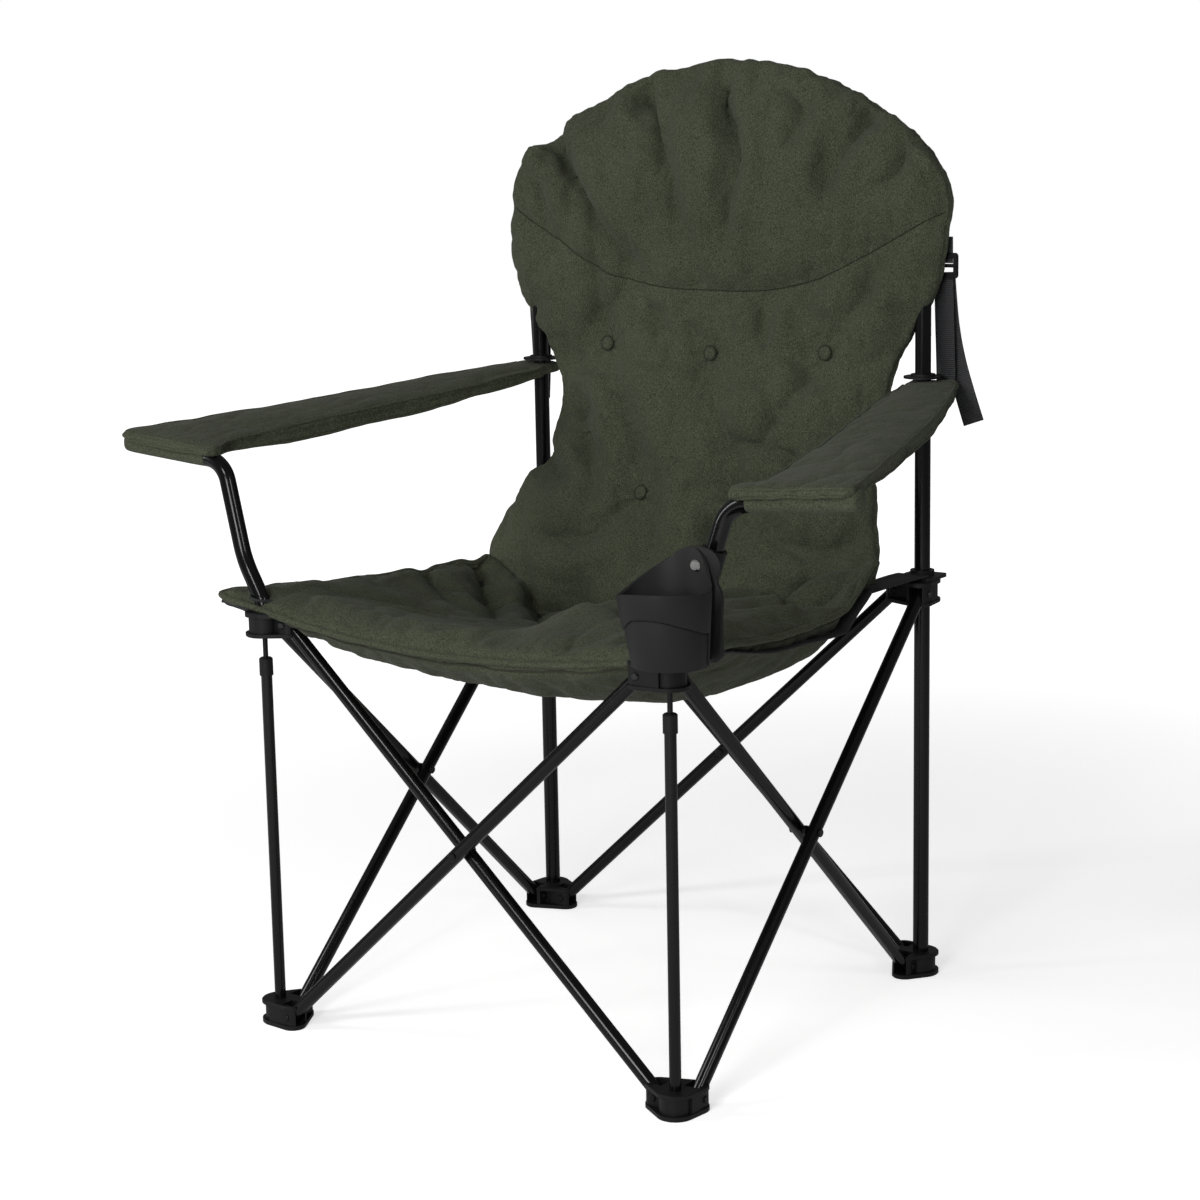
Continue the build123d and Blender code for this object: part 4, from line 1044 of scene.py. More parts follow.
@dataclass
class BackPad:
    """The padded back: a pillow over the poles with a gathered dome, a sewn curve and covered buttons."""

    # level sections: height, left and right half-widths, lean in front of the poles, wrap and thickness
    rows: tuple[tuple[float, ...], ...] = (
        (0.388, 0.150, 0.150, 0.104, 0.000, 0.020),
        (0.415, 0.222, 0.192, 0.104, 0.000, 0.030),
        (0.450, 0.282, 0.234, 0.100, 0.000, 0.040),
        (0.492, 0.304, 0.260, 0.090, 0.002, 0.048),
        (0.535, 0.294, 0.260, 0.078, 0.007, 0.054),
        (0.580, 0.270, 0.247, 0.065, 0.012, 0.054),
        (0.625, 0.243, 0.236, 0.052, 0.016, 0.050),
        (0.690, 0.236, 0.238, 0.030, 0.018, 0.044),
        (0.745, 0.252, 0.247, 0.014, 0.012, 0.044),
        (0.790, 0.290, 0.273, 0.005, 0.005, 0.044),
        (0.840, 0.316, 0.301, 0.000, 0.000, 0.044),
        (0.900, 0.322, 0.314, 0.000, 0.000, 0.044),
        (0.945, 0.320, 0.319, -0.002, 0.000, 0.044),
        (0.990, 0.298, 0.297, -0.005, 0.000, 0.044),
        (1.030, 0.247, 0.249, -0.012, 0.000, 0.040),
        (1.066, 0.187, 0.191, -0.019, 0.000, 0.034),
        (1.093, 0.120, 0.126, -0.027, 0.000, 0.026),
        (1.108, 0.052, 0.060, -0.031, 0.000, 0.016),
    )
    ring: int = 72
    levels: int = 70
    round_across: float = 0.8
    round_deep: float = 0.55
    foot_smile: float = 0.012
    smile_height: float = 0.07
    pole_cover: float = 0.0145
    pocket_wide: float = 1.5
    pocket_low: float = 0.86
    upper_tufts: tuple[Flat, ...] = ((-0.159, 0.763), (0.0, 0.757), (0.159, 0.763))
    lower_tufts: tuple[Flat, ...] = ((-0.072, 0.585), (0.072, 0.585))
    seam: tuple[Flat, ...] = (
        (-0.308, 0.931), (-0.235, 0.893), (-0.150, 0.850), (-0.090, 0.838),
        (0.0, 0.834), (0.090, 0.838), (0.150, 0.852), (0.235, 0.893), (0.308, 0.931),
    )
    seam_steps: int = 60
    edge_steps: int = 90
    # the cloth run's hold: by the turn to the rear, at the seam, at the buttons and at the sewn edge
    rear_rate: float = 2.0
    rear_less: float = 0.6
    front_turn: float = 0.2
    seam_hold: float = 0.006
    tuft_firm: float = 1.5
    tuft_hold: float = 0.026
    edge_firm: float = 1.4
    edge_hold: float = 0.014
    edge_most: float = 0.9
    # depth and width of what is pressed in
    press_turn: float = 0.35
    upper_well: Flat = (0.006, 0.016)
    lower_well: Flat = (0.009, 0.020)
    seam_groove: Flat = (0.0014, 0.0032)
    seam_dip: Flat = (0.002, 0.014)
    edge_groove: Flat = (0.0040, 0.0045)
    edge_gather: Gather = Gather(0.0034, 0.026, 0.052, 0.019, 0.45, 51)
    wrinkles: tuple[Crumple, ...] = (
        Crumple(0.090, 0.0064, 11, (1.0, 1.0, 0.6)),
        Crumple(0.055, 0.0042, 37, (1.0, 1.0, 0.45)),
        Crumple(0.034, 0.0034, 23, (1.0, 1.0, 0.7)),
    )
    rear_wrinkles: float = 0.45
    well: float = 0.018
    # a stitch has a pitch, a length and a radius
    button_radius: float = 0.0085
    button_lift: float = 0.0012
    button_flat: float = 0.42
    button_meridians: int = 24
    button_levels: int = 14
    thread_ring: float = 0.0090
    thread_lift: float = 0.0006
    thread_steps: int = 40
    button_stitch: Point = (0.0032, 0.0030, 0.0009)
    seam_stitch: Point = (0.0048, 0.0042, 0.0007)
    stitch_steps: int = 120
    probe: float = 0.3
    folds: tuple[Fold, ...] = (
        Fold(
            ((-0.246, 1.012), (-0.222, 0.985), (-0.185, 0.930), (-0.140, 0.880), (-0.085, 0.842)),
            0.027, 0.012, True,
        ),
        Fold(
            ((-0.114, 1.068), (-0.098, 1.050), (-0.070, 1.000), (-0.050, 0.950), (-0.040, 0.895)),
            0.0213, 0.011, True,
        ),
        Fold(
            ((0.003, 1.082), (0.012, 1.050), (0.034, 1.000), (0.028, 0.950), (0.024, 0.880)),
            0.0238, 0.011, True,
        ),
        Fold(((0.092, 1.076), (0.118, 1.050), (0.110, 1.020), (0.092, 0.985)), 0.0109, 0.010, True),
        Fold(((0.204, 1.041), (0.178, 1.012), (0.165, 0.980), (0.172, 0.945)), 0.0225, 0.011, True),
        Fold(((0.260, 1.000), (0.250, 0.975), (0.210, 0.955)), 0.0139, 0.010, True),
        Fold(((-0.288, 0.962), (-0.270, 0.955), (-0.245, 0.925)), 0.0093, 0.010, True),
        Fold(((-0.125, 0.842), (-0.085, 0.800), (-0.045, 0.770)), 0.0124, 0.011),
        Fold(((-0.182, 0.868), (-0.172, 0.820), (-0.160, 0.775)), 0.0109, 0.009),
        Fold(((-0.060, 0.830), (-0.035, 0.795), (-0.010, 0.765)), 0.0093, 0.009),
        Fold(((0.075, 0.830), (0.072, 0.790), (0.085, 0.755)), 0.0109, 0.010),
        Fold(((0.235, 0.880), (0.205, 0.830), (0.172, 0.780)), 0.0139, 0.012),
        Fold(((-0.150, 0.745), (-0.110, 0.690), (-0.085, 0.640), (-0.075, 0.600)), 0.0155, 0.013),
        Fold(((-0.215, 0.720), (-0.170, 0.650), (-0.140, 0.590), (-0.145, 0.540)), 0.0155, 0.014),
        Fold(((0.000, 0.740), (0.030, 0.690), (0.065, 0.640), (0.072, 0.600)), 0.0124, 0.012),
        Fold(((0.150, 0.745), (0.120, 0.700), (0.095, 0.650)), 0.0124, 0.012),
        Fold(((0.040, 0.640), (0.070, 0.655), (0.120, 0.650), (0.170, 0.625)), 0.0109, 0.010),
        Fold(((-0.085, 0.570), (-0.120, 0.540), (-0.180, 0.525), (-0.240, 0.530)), 0.0155, 0.012),
        Fold(((0.085, 0.570), (0.140, 0.545), (0.200, 0.540), (0.260, 0.555)), 0.0155, 0.012),
        Fold(((-0.060, 0.570), (-0.040, 0.530), (-0.050, 0.495)), 0.0139, 0.011),
        Fold(((0.060, 0.570), (0.045, 0.530), (0.060, 0.495)), 0.0139, 0.011),
        Fold(((-0.240, 0.620), (-0.200, 0.600), (-0.160, 0.600)), 0.0124, 0.011, True),
        Fold(((0.240, 0.640), (0.200, 0.610), (0.160, 0.600)), 0.0124, 0.011, True),
    )
    puff: Puff = field(default_factory=lambda: Puff(voxel=0.0066, cap=0.016, slack=0.025, stiffness=6.0))
    keep_folded: float = 0.17

    def cover(self) -> bpy.types.Object:
        """The empty cover: rings lofted through the level sections."""
        table = np.asarray(self.rows)
        heights = np.linspace(table[0, 0], table[-1, 0], self.levels)
        sizes = (curve_through(table[:, 0], table[:, k], heights) for k in range(1, 6))
        left, right, ahead, wrap, thick = sizes
        turn = full_turn(self.ring)
        across = boxed(np.cos(turn), self.round_across)
        deep = boxed(np.sin(turn), self.round_deep)
        rows = []
        for level, height in enumerate(heights):
            x = np.where(across > 0, right[level], left[level]) * across
            y = MARKS.pole_y - ahead[level] + wrap[level] * across**2 + thick[level] / 2 * deep
            rise = self.foot_smile * across**2 * max(0.0, 1 - (height - heights[0]) / self.smile_height)
            rows.append(np.stack([x, y, height + rise], axis=1))
        return loft("back_cover", rows)

    def held(self, obj: bpy.types.Object) -> np.ndarray:
        """How firmly the cloth run holds each point: at the back, the seam and the tufts."""
        points, normals = get_points(obj), get_normals(obj)
        plan = points[:, (0, 2)]
        pins = np.clip(normals[:, 1] * self.rear_rate - self.rear_less, 0, 1)
        front = normals[:, 1] < self.front_turn
        away, _ = distance_to_path(plan, path_through(self.seam, self.seam_steps))
        pins = np.maximum(pins, np.where(front & (away < self.seam_hold), 1, 0))
        for spot in (*self.upper_tufts, *self.lower_tufts):
            near = np.linalg.norm(plan - np.asarray(spot), axis=1)
            firm = np.clip(self.tuft_firm - near / self.tuft_hold, 0, 1)
            pins = np.maximum(pins, np.where(front, firm, 0))
        for side in Side:
            away, _ = distance_to_path(points, self.edge_line(side))
            pins = np.maximum(pins, np.clip(self.edge_firm - away / self.edge_hold, 0, self.edge_most))
        return pins

    def sculpt(self, obj: bpy.types.Object) -> None:
        """Presses the seam, the tufts, the main folds and the small wrinkles into the filled cover."""
        points, normals = get_points(obj), get_normals(obj)
        plan = points[:, (0, 2)]
        front = np.sqrt(np.clip(self.press_turn - normals[:, 1], 0, 1))
        dents = np.zeros(len(points))
        for fold in self.folds:
            dents += fold.dent(plan)
        for spots, well in ((self.upper_tufts, self.upper_well), (self.lower_tufts, self.lower_well)):
            for spot in spots:
                dents += Tuft(spot, *well).dent(plan)
        away, _ = distance_to_path(plan, path_through(self.seam, self.seam_steps))
        dents += -bell(away, *self.seam_groove) - bell(away, *self.seam_dip)
        press(obj, dents, front)
        points = get_points(obj)
        wrinkles = sum(crumple.dent(points) for crumple in self.wrinkles)
        wrinkles += self.edge_gathers(points)
        calm = np.ones(len(points))
        for spot in (*self.upper_tufts, *self.lower_tufts):
            away = np.linalg.norm(points[:, (0, 2)] - np.asarray(spot), axis=1)
            calm *= 1 - bell(away, 1.0, self.well)
        press(obj, wrinkles, (self.rear_wrinkles + (1 - self.rear_wrinkles) * front) * calm)
        self.cover_poles(obj)

    def edge_line(self, side: Side) -> np.ndarray:
        """The sewn edge of one side, from the foot to the top of the dome."""
        table = np.asarray(self.rows)
        heights = np.linspace(table[0, 0], table[-1, 0], self.edge_steps)
        column = 1 if side is Side.LEFT else 2
        half, ahead, wrap = (curve_through(table[:, 0], table[:, k], heights) for k in (column, 3, 4))
        return np.stack([side.value * half, MARKS.pole_y - ahead + wrap, heights], axis=1)

    def edge_gathers(self, points: np.ndarray) -> np.ndarray:
        """A groove at the sewn edge, and the small gathers beside it."""
        move = np.zeros(len(points))
        for side in Side:
            away, _ = distance_to_path(points, self.edge_line(side))
            move += self.edge_gather.dent(points, away)
            move -= bell(away, *self.edge_groove)
        return move

    def cover_poles(self, obj: bpy.types.Object) -> None:
        """Keeps the cloth of the pole pockets off the poles."""
        points = get_points(obj)
        clear = self.pole_cover
        for side in Side:
            across = (points[:, 0] - side.value * MARKS.pole_x) / (self.pocket_wide * clear)
            wall = clear * np.sqrt(np.clip(1 - across**2, 0, 1))
            pocket = (np.abs(across) < 1) & (points[:, 2] > self.pocket_low)
            deep = points[:, 1] - MARKS.pole_y
            ahead = pocket & (deep < 0) & (deep > -wall)
            behind = pocket & (deep >= 0) & (deep < wall)
            points[ahead, 1] = MARKS.pole_y - wall[ahead]
            points[behind, 1] = MARKS.pole_y + wall[behind]
        set_points(obj, points)

    def front_at(self, tree: BVHTree, x: float, z: float) -> tuple[Vector | None, Vector | None]:
        """The place and the normal of the pad's front at a point, or None beside the pad."""
        return tree.ray_cast(Vector((x, MARKS.pole_y - self.probe, z)), Vector((0, 1, 0)))[:2]

    def buttons(self, tree: BVHTree) -> list[bpy.types.Object]:
        """The covered buttons as one piece, then the stitches round each, all laid on the pad's surface."""
        domes = bmesh.new()
        rings: list[np.ndarray] = []
        for x, z in (*self.upper_tufts, *self.lower_tufts):
            spot, normal = self.front_at(tree, x, z)
            turn = normal.to_track_quat("Z", "Y").to_matrix().to_4x4()
            place = Matrix.Translation(spot + normal * self.button_lift) @ turn
            flat = Matrix.Diagonal((1, 1, self.button_flat, 1))
            bmesh.ops.create_uvsphere(
                domes,
                u_segments=self.button_meridians,
                v_segments=self.button_levels,
                radius=self.button_radius,
                matrix=place @ flat,
            )
            ring = []
            for angle in np.linspace(0, 2 * np.pi, self.thread_steps):
                x, y = math.cos(angle) * self.thread_ring, math.sin(angle) * self.thread_ring
                ring.append(place @ Vector((x, y, self.thread_lift)))
            rings.append(np.array(ring))
        mesh = bpy.data.meshes.new("back_button_covers")
        domes.to_mesh(mesh)
        domes.free()
        mesh.shade_smooth()
        covers = link_object("back_button_covers", mesh)
        dress(covers, HEATHER.material(), "padded_fabric")
        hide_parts("back_buttons")
        sewn = [
            StitchTree.sew(f"button_stitches_{i}", ring, *self.button_stitch) for i, ring in enumerate(rings)
        ]
        return [covers, *sewn]

    def seam_stitches(self, tree: BVHTree) -> bpy.types.Object:
        """The stitches along the sewn curve."""
        line = []
        for x, z in path_through(self.seam, self.stitch_steps):
            spot, normal = self.front_at(tree, x, z)
            if spot is not None:
                line.append(tuple(spot + normal * self.thread_lift))
        return StitchTree.sew("back_seam_stitches", np.array(line), *self.seam_stitch)

    def build(self) -> None:
        """Makes the pad, its buttons and its stitches, which ride on the rear left foot."""
        obj = self.cover()
        self.puff.fill(obj, self.held)
        self.sculpt(obj)
        obj.name = "back_cushion"
        dress(obj, HEATHER.material(), "padded_fabric")
        tree = surface_of(obj)
        trims = [*self.buttons(tree), self.seam_stitches(tree)]
        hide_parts("back_pad")
        for piece in (obj, *trims):
            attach(piece, "rear_left_foot")
            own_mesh(piece)
        LOG.info("back cushion: %d faces", len(obj.data.polygons))


@dataclass
class SeatPad:
    """The padded seat: a pillow sewn at its edge, cut at the fold line into two halves."""

    # plan: distance behind the origin, left and right half-widths, edge height and the middle's sag
    plan: tuple[tuple[float, ...], ...] = (
        (-0.252, 0.292, 0.286, 0.501, 0.028),
        (-0.244, 0.334, 0.320, 0.507, 0.031),
        (-0.228, 0.347, 0.330, 0.510, 0.035),
        (-0.190, 0.324, 0.316, 0.509, 0.041),
        (-0.130, 0.297, 0.296, 0.507, 0.056),
        (-0.050, 0.289, 0.289, 0.503, 0.071),
        (0.050, 0.288, 0.288, 0.498, 0.080),
        (0.130, 0.288, 0.288, 0.494, 0.090),
        (0.180, 0.288, 0.288, 0.495, 0.095),
        (0.203, 0.284, 0.286, 0.498, 0.096),
    )
    columns: int = 96
    lines: int = 70
    crown: float = 0.018
    belly: float = 0.026
    belly_skew: float = 0.36
    belly_power: float = 0.8
    belly_less: float = 0.6
    lining: float = 0.0045
    across_power: int = 3
    edge_power: float = 0.4
    end_round: float = 0.036
    # the dish's section: its power at the front, what is added to it and over what length
    dish_power: float = 2.0
    dish_more: float = 1.8
    dish_length: float = 0.35
    # the rolled rear corner on the right: start and length along the seat and as shares of the half-width
    roll_along: Flat = (0.115, 0.07)
    roll_across: Flat = (0.55, 0.45)
    corner_lift: float = 0.040
    corner_roll: float = 0.016
    corner_round: float = 0.018
    # the fuller right side: how full, with its start and length as above
    right_fill: float = 0.72
    fill_along: Flat = (-0.22, 0.10)
    fill_across: Flat = (0.0, 0.35)
    # the right edge's drop: how low, with its start and length across, its middle and its half-length
    right_drop: float = 0.016
    drop_across: Flat = (0.5, 0.5)
    drop_middle: float = -0.03
    drop_half: float = 0.17
    # the cords of the welt, the crease's painted shade and the corner hems: how far each stands off the
    # cover, and its radius
    trim_steps: int = 120
    welt_cord: Flat = (0.0010, 0.0040)
    crease_cord: Flat = (0.0002, 0.0011)
    hem_cord: Flat = (0.0006, 0.0045)
    # how far the dark cord of painted shade lies under the welt, and how far back it runs
    crease_drop: float = 0.0085
    crease_end: float = 0.12
    flap_x: float = 0.288
    flap_y: float = -0.175
    hem_drop: float = 0.011
    hold_firm: float = 1.3
    hold_width: float = 0.012
    press_turn: float = 0.3
    gather_steps: int = 40
    edge_gather: Gather = Gather(0.0030, 0.012, 0.030, 0.014, 0.5, 52, beside=0.014)
    wrinkles: tuple[Crumple, ...] = (
        Crumple(0.085, 0.0050, 31, (1.0, 0.75, 1.0)),
        Crumple(0.034, 0.0025, 41),
    )
    folds: tuple[Fold, ...] = (
        Fold(((-0.270, 0.165), (-0.215, 0.110), (-0.170, 0.060), (-0.150, 0.000)), 0.0186, 0.013, True),
        Fold(((-0.285, 0.060), (-0.230, 0.030), (-0.180, 0.010)), 0.0109, 0.011, True),
        Fold(((-0.200, 0.195), (-0.150, 0.120), (-0.090, 0.070)), 0.0170, 0.013, True),
        Fold(((-0.060, 0.200), (-0.050, 0.140), (-0.020, 0.080)), 0.0139, 0.012, True),
        Fold(((0.060, 0.200), (0.040, 0.130), (0.050, 0.060)), 0.0139, 0.012, True),
        Fold(((0.200, 0.195), (0.150, 0.130), (0.120, 0.060)), 0.0155, 0.013, True),
        Fold(((0.270, 0.165), (0.225, 0.100), (0.190, 0.030)), 0.0170, 0.013, True),
        Fold(((0.285, 0.040), (0.235, 0.010), (0.190, -0.040)), 0.0093, 0.010, True),
        Fold(((-0.255, -0.205), (-0.190, -0.150), (-0.110, -0.110), (-0.030, -0.090)), 0.0109, 0.012),
        Fold(((-0.240, -0.160), (-0.190, -0.090), (-0.160, -0.030)), 0.0109, 0.012),
        Fold(((0.255, -0.205), (0.190, -0.155), (0.120, -0.110), (0.050, -0.090)), 0.0109, 0.012),
        Fold(((0.240, -0.160), (0.200, -0.090), (0.170, -0.040)), 0.0093, 0.012),
    )
    # the post's slot: half-width, length, rise, step out from the pole, its two directions and its cord
    slot_half: float = 0.0125
    slot_long: float = 0.022
    slot_rise: float = 0.0105
    slot_out: float = 0.003
    slot_way: Point = (-0.5, 0.87, 0.0)
    slot_side: Point = (0.87, 0.5, 0.0)
    slot_steps: int = 10
    slot_radius: float = 0.0021
    # the sling's rear tab: distances out along it, half-widths at its ends, and its lap on the corner plate
    plate_thick: float = 0.004
    tab_out: tuple[float, ...] = (0.262, 0.267, 0.272, 0.277)
    tab_half: Flat = (0.017, 0.022)
    tab_in: float = 0.010
    tab_under: float = 0.004
    tab_lap: float = 0.0014
    tab_dip: float = 0.001
    tab_end: float = 0.008
    tab_lines: int = 24
    tab_columns: int = 9
    # the sling inside the cover: insets of its ends, rounded rear corners and the hem that hangs at its sides
    sling_thick: float = 0.0016
    sling_front: float = 0.010
    sling_rear: float = 0.004
    sling_gap: float = 0.004
    sling_out: float = 0.002
    sling_slack: float = 1.02
    sling_round: float = 0.016
    sling_round_length: float = 0.030
    sling_lines: int = 30
    sling_columns: int = 61
    hem_least: float = 0.003
    hem_more: float = 0.009
    hem_along: Flat = (-0.16, 0.12)
    hem_rear: float = 0.010
    hem_rear_along: Flat = (0.02, 0.1)
    hem_power: int = 20
    puff: Puff = field(default_factory=lambda: Puff(cap=0.010, slack=0.02, stiffness=5.0))
    keep_folded: float = 0.17

    def edge(self, x: np.ndarray, y: np.ndarray) -> tuple[np.ndarray, np.ndarray, np.ndarray]:
        """The half-width, edge height and sag at distances behind the origin, on the side that x lies on."""
        table = np.asarray(self.plan)
        left, right, height, sag = (curve_through(table[:, 0], table[:, k], y) for k in (1, 2, 3, 4))
        return np.where(x < 0, left, right), height, sag

    def corner(self, x: np.ndarray, y: np.ndarray) -> np.ndarray:
        """How near points lie to the rolled rear corner on the right, from 0 to 1."""
        half, _, _ = self.edge(x, y)
        return ramp(y, *self.roll_along) * ramp(x / half, *self.roll_across)

    def right_side(self, x: np.ndarray, y: np.ndarray) -> tuple[np.ndarray, np.ndarray]:
        """How far the right side's padding fills the dish and its sewn edge hangs down, from 0 to 1."""
        half, _, _ = self.edge(x, y)
        share = x / half
        fill = smooth_share(ramp(share, *self.fill_across)) * smooth_share(ramp(y, *self.fill_along))
        along = np.clip(1 - ((y - self.drop_middle) / self.drop_half) ** 2, 0, 1)
        return fill, ramp(share, *self.drop_across) * along

    def sewn_height(self, x: np.ndarray, y: np.ndarray) -> np.ndarray:
        """The height of the sewn middle surface."""
        half, height, sag = self.edge(x, y)
        flat = self.dish_power + self.dish_more * ramp(y, self.plan[0][0], self.dish_length)
        lift = self.corner_lift * self.corner(x, y) - self.right_drop * self.right_side(x, y)[1]
        return height + lift - sag * np.clip(1 - np.abs(x / half) ** flat, 0, 1)

    def cover(self) -> bpy.types.Object:
        """The empty cover: a top and a bottom sheet that meet at the sewn edge."""
        y_low, y_high = self.plan[0][0], self.plan[-1][0]
        share = 0.5 - 0.5 * np.cos(np.linspace(0, np.pi, self.lines))
        y = y_low + (y_high - y_low) * share
        u = np.sin(np.linspace(-np.pi / 2, np.pi / 2, self.columns))
        grid_y, grid_u = np.meshgrid(y, u, indexing="ij")
        half, _, sag = self.edge(grid_u, grid_y)
        x = grid_u * half
        middle = self.sewn_height(x, grid_y)
        crown = self.crown + self.corner_roll * self.corner(x, grid_y)
        inside = np.clip(1 - np.abs(grid_u) ** self.across_power, 0, 1)
        side = inside**self.edge_power
        rise = self.right_fill * self.right_side(x, grid_y)[0] * sag * inside
        from_end = np.minimum(grid_y - y_low, y_high - grid_y)
        ends = np.clip(1 - (1 - ramp(from_end, 0, self.end_round)) ** 2, 0, 1) ** self.edge_power
        skew = grid_u - self.belly_skew * (1 - grid_u**2)
        hang = np.clip(1 - skew**2, 0, 1) ** self.belly_power
        hang = hang * (1 - self.belly_less * ramp(grid_y, 0, y_high))
        above = (crown * side + rise) * ends
        below = (self.belly * hang + self.lining * side) * ends
        top = np.stack([x, grid_y, middle + above], axis=-1).reshape(-1, 3)
        bottom = np.stack([x, grid_y, middle - below], axis=-1).reshape(-1, 3)
        faces, count = [], len(top)
        for quad in grid_faces(self.lines, self.columns):
            faces.append(quad)
            faces.append(tuple(count + k for k in reversed(quad)))
        return mesh_object("seat_cover", np.concatenate([top, bottom]), faces)

    def outline(self, count: int) -> np.ndarray:
        """The sewn edge as a closed run of points with rounded corners."""
        inset = self.corner_round
        y_low, y_high = self.plan[0][0], self.plan[-1][0]
        y = np.linspace(y_low + inset, y_high - inset, count)
        sides = []
        for sign in (1, -1):
            x = sign * self.edge(np.full(count, sign), y)[0]
            sides.append(np.stack([x, y, self.sewn_height(x, y)], axis=1))
        ends = []
        for y_end in (y_high, y_low):
            level = np.full(count, y_end)
            right, left = (self.edge(np.full(1, sign), level[:1])[0][0] - inset for sign in (1, -1))
            x = np.linspace(right, -left, count)
            ends.append(np.stack([x, level, self.sewn_height(x, level)], axis=1))
        points = np.concatenate([sides[0], ends[0], sides[1][::-1], ends[1][::-1], sides[0][:1]])
        return path_through(points, 4 * count)[:-1]

    def held(self, obj: bpy.types.Object) -> np.ndarray:
        """How firmly the cloth run holds each point: along the sewn edge."""
        points = get_points(obj)
        half, _, _ = self.edge(points[:, 0], points[:, 1])
        from_side = half - np.abs(points[:, 0])
        from_front = points[:, 1] - self.plan[0][0]
        from_rear = self.plan[-1][0] - points[:, 1]
        nearest = np.minimum(from_side, np.minimum(from_front, from_rear))
        return np.clip(self.hold_firm - nearest / self.hold_width, 0, 1)

    def sculpt(self, obj: bpy.types.Object) -> None:
        """Presses the main folds and the small wrinkles into the filled cover."""
        points, normals = get_points(obj), get_normals(obj)
        plan = points[:, (0, 1)]
        upper = np.sqrt(np.clip(self.press_turn + normals[:, 2], 0, 1))
        dents = np.zeros(len(points))
        for fold in self.folds:
            dents += fold.dent(plan)
        press(obj, dents, upper)
        points = get_points(obj)
        wrinkles = sum(crumple.dent(points) for crumple in self.wrinkles)
        away, _ = distance_to_path(points, self.outline(self.gather_steps))
        wrinkles += self.edge_gather.dent(points, away)
        press(obj, wrinkles, np.ones(len(points)))

    def half_of(self, obj: bpy.types.Object, name: str, front: bool) -> bpy.types.Object:
        """Copies the front or the rear half of a piece, cut and closed at the fold line."""
        shape = bmesh.new()
        shape.from_mesh(obj.data)
        everything = shape.verts[:] + shape.edges[:] + shape.faces[:]
        cut = bmesh.ops.bisect_plane(
            shape,
            geom=everything,
            plane_co=(0, MARKS.fold_y, 0),
            plane_no=(0, 1, 0),
            clear_outer=front,
            clear_inner=not front,
        )
        edges = [e for e in cut["geom_cut"] if isinstance(e, bmesh.types.BMEdge)]
        bmesh.ops.holes_fill(shape, edges=edges)
        mesh = bpy.data.meshes.new(name)
        shape.to_mesh(mesh)
        shape.free()
        mesh.shade_smooth()
        return link_object(name, mesh)

    def welt(self, surface: BVHTree) -> bpy.types.Object:
        """The rolled welt along the sewn edge of the finished cover."""
        return trim_on(surface, "seat_welt", self.outline(self.trim_steps), self.welt_cord, closed=True)

    def crease(self, surface: BVHTree) -> bpy.types.Object:
        """A dark cord of painted shade in the crease just under the welt, round the front and along both
        sides.
        """
        line = self.outline(self.trim_steps)
        ahead = line[:, 1] < self.crease_end
        start = int(np.flatnonzero(~ahead)[-1]) + 1
        line = np.roll(line, -start, axis=0)[: int(ahead.sum())]
        return trim_on(surface, "seat_crease", line - np.array([0, 0, self.crease_drop]), self.crease_cord)

    def corner_hems(self, surface: BVHTree) -> list[bpy.types.Object]:
        """The sling's bound hems, which show under the cover's front corner flaps."""
        line = self.outline(self.trim_steps)
        made = []
        for side in Side:
            near = (line[:, 0] * side.value > self.flap_x) & (line[:, 1] < self.flap_y)
            start = int(np.flatnonzero(near & ~np.roll(near, 1))[0])
            run = np.roll(line, -start, axis=0)[: int(near.sum())]
            run = run - np.array([0, 0, self.hem_drop])
            made.append(trim_on(surface, f"{side.word}_corner_hem", run, self.hem_cord))
        return made

    def build(self) -> None:
        """Makes the seat, its welt and its sling, each in two halves that ride on their own bodies."""
        whole = self.cover()
        self.puff.fill(whole, self.held)
        self.sculpt(whole)
        surface = surface_of(whole)
        # the welt, and a dark cord of painted shade in the crease under it
        welt, crease = self.welt(surface), self.crease(surface)
        for half, front in (("front", True), ("rear", False)):
            pad = self.half_of(whole, f"seat_cushion_{half}", front)
            edge = self.half_of(welt, f"seat_welt_{half}", front)
            line = self.half_of(crease, f"seat_crease_{half}", front)
            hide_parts(f"seat_pad_{half}")
            # the crease's cord takes the dark thread finish as painted shade
            for piece, finish in ((pad, HEATHER), (edge, HEATHER), (line, THREAD_AND_CREASE_SHADE)):
                dress(piece, finish.material(), "padded_fabric")
                self.gather(piece, half)
        for hem in self.corner_hems(surface):
            dress(hem, PACK_CLOTH.material(), "sling_fabric")
            self.gather(hem, "front")
        for spare in (whole, welt, crease):
            bpy.data.objects.remove(spare)
        self.sling()
        for side in Side:
            self.corner_tab(side)
            self.post_slot(side)

    def gather(self, piece: bpy.types.Object, half: str) -> None:
        """Lets a piece of the seat ride on its half."""
        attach(piece, f"seat_{half}")
        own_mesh(piece)

    def sling_cloth(
        self, name: str, points: np.ndarray, size: tuple[int, int]
    ) -> tuple[bpy.types.Object, float]:
        """Makes a sheet of the sling's cloth from lines and columns of points, and gives its area too."""
        obj = mesh_object(name, points, grid_faces(*size))
        area = sum(p.area for p in obj.data.polygons)
        wall = obj.modifiers.new("wall", "SOLIDIFY")
        wall.thickness = self.sling_thick
        wall.offset = 0
        settle(obj)
        dress(obj, PACK_CLOTH.material(), "sling_fabric")
        return obj, area

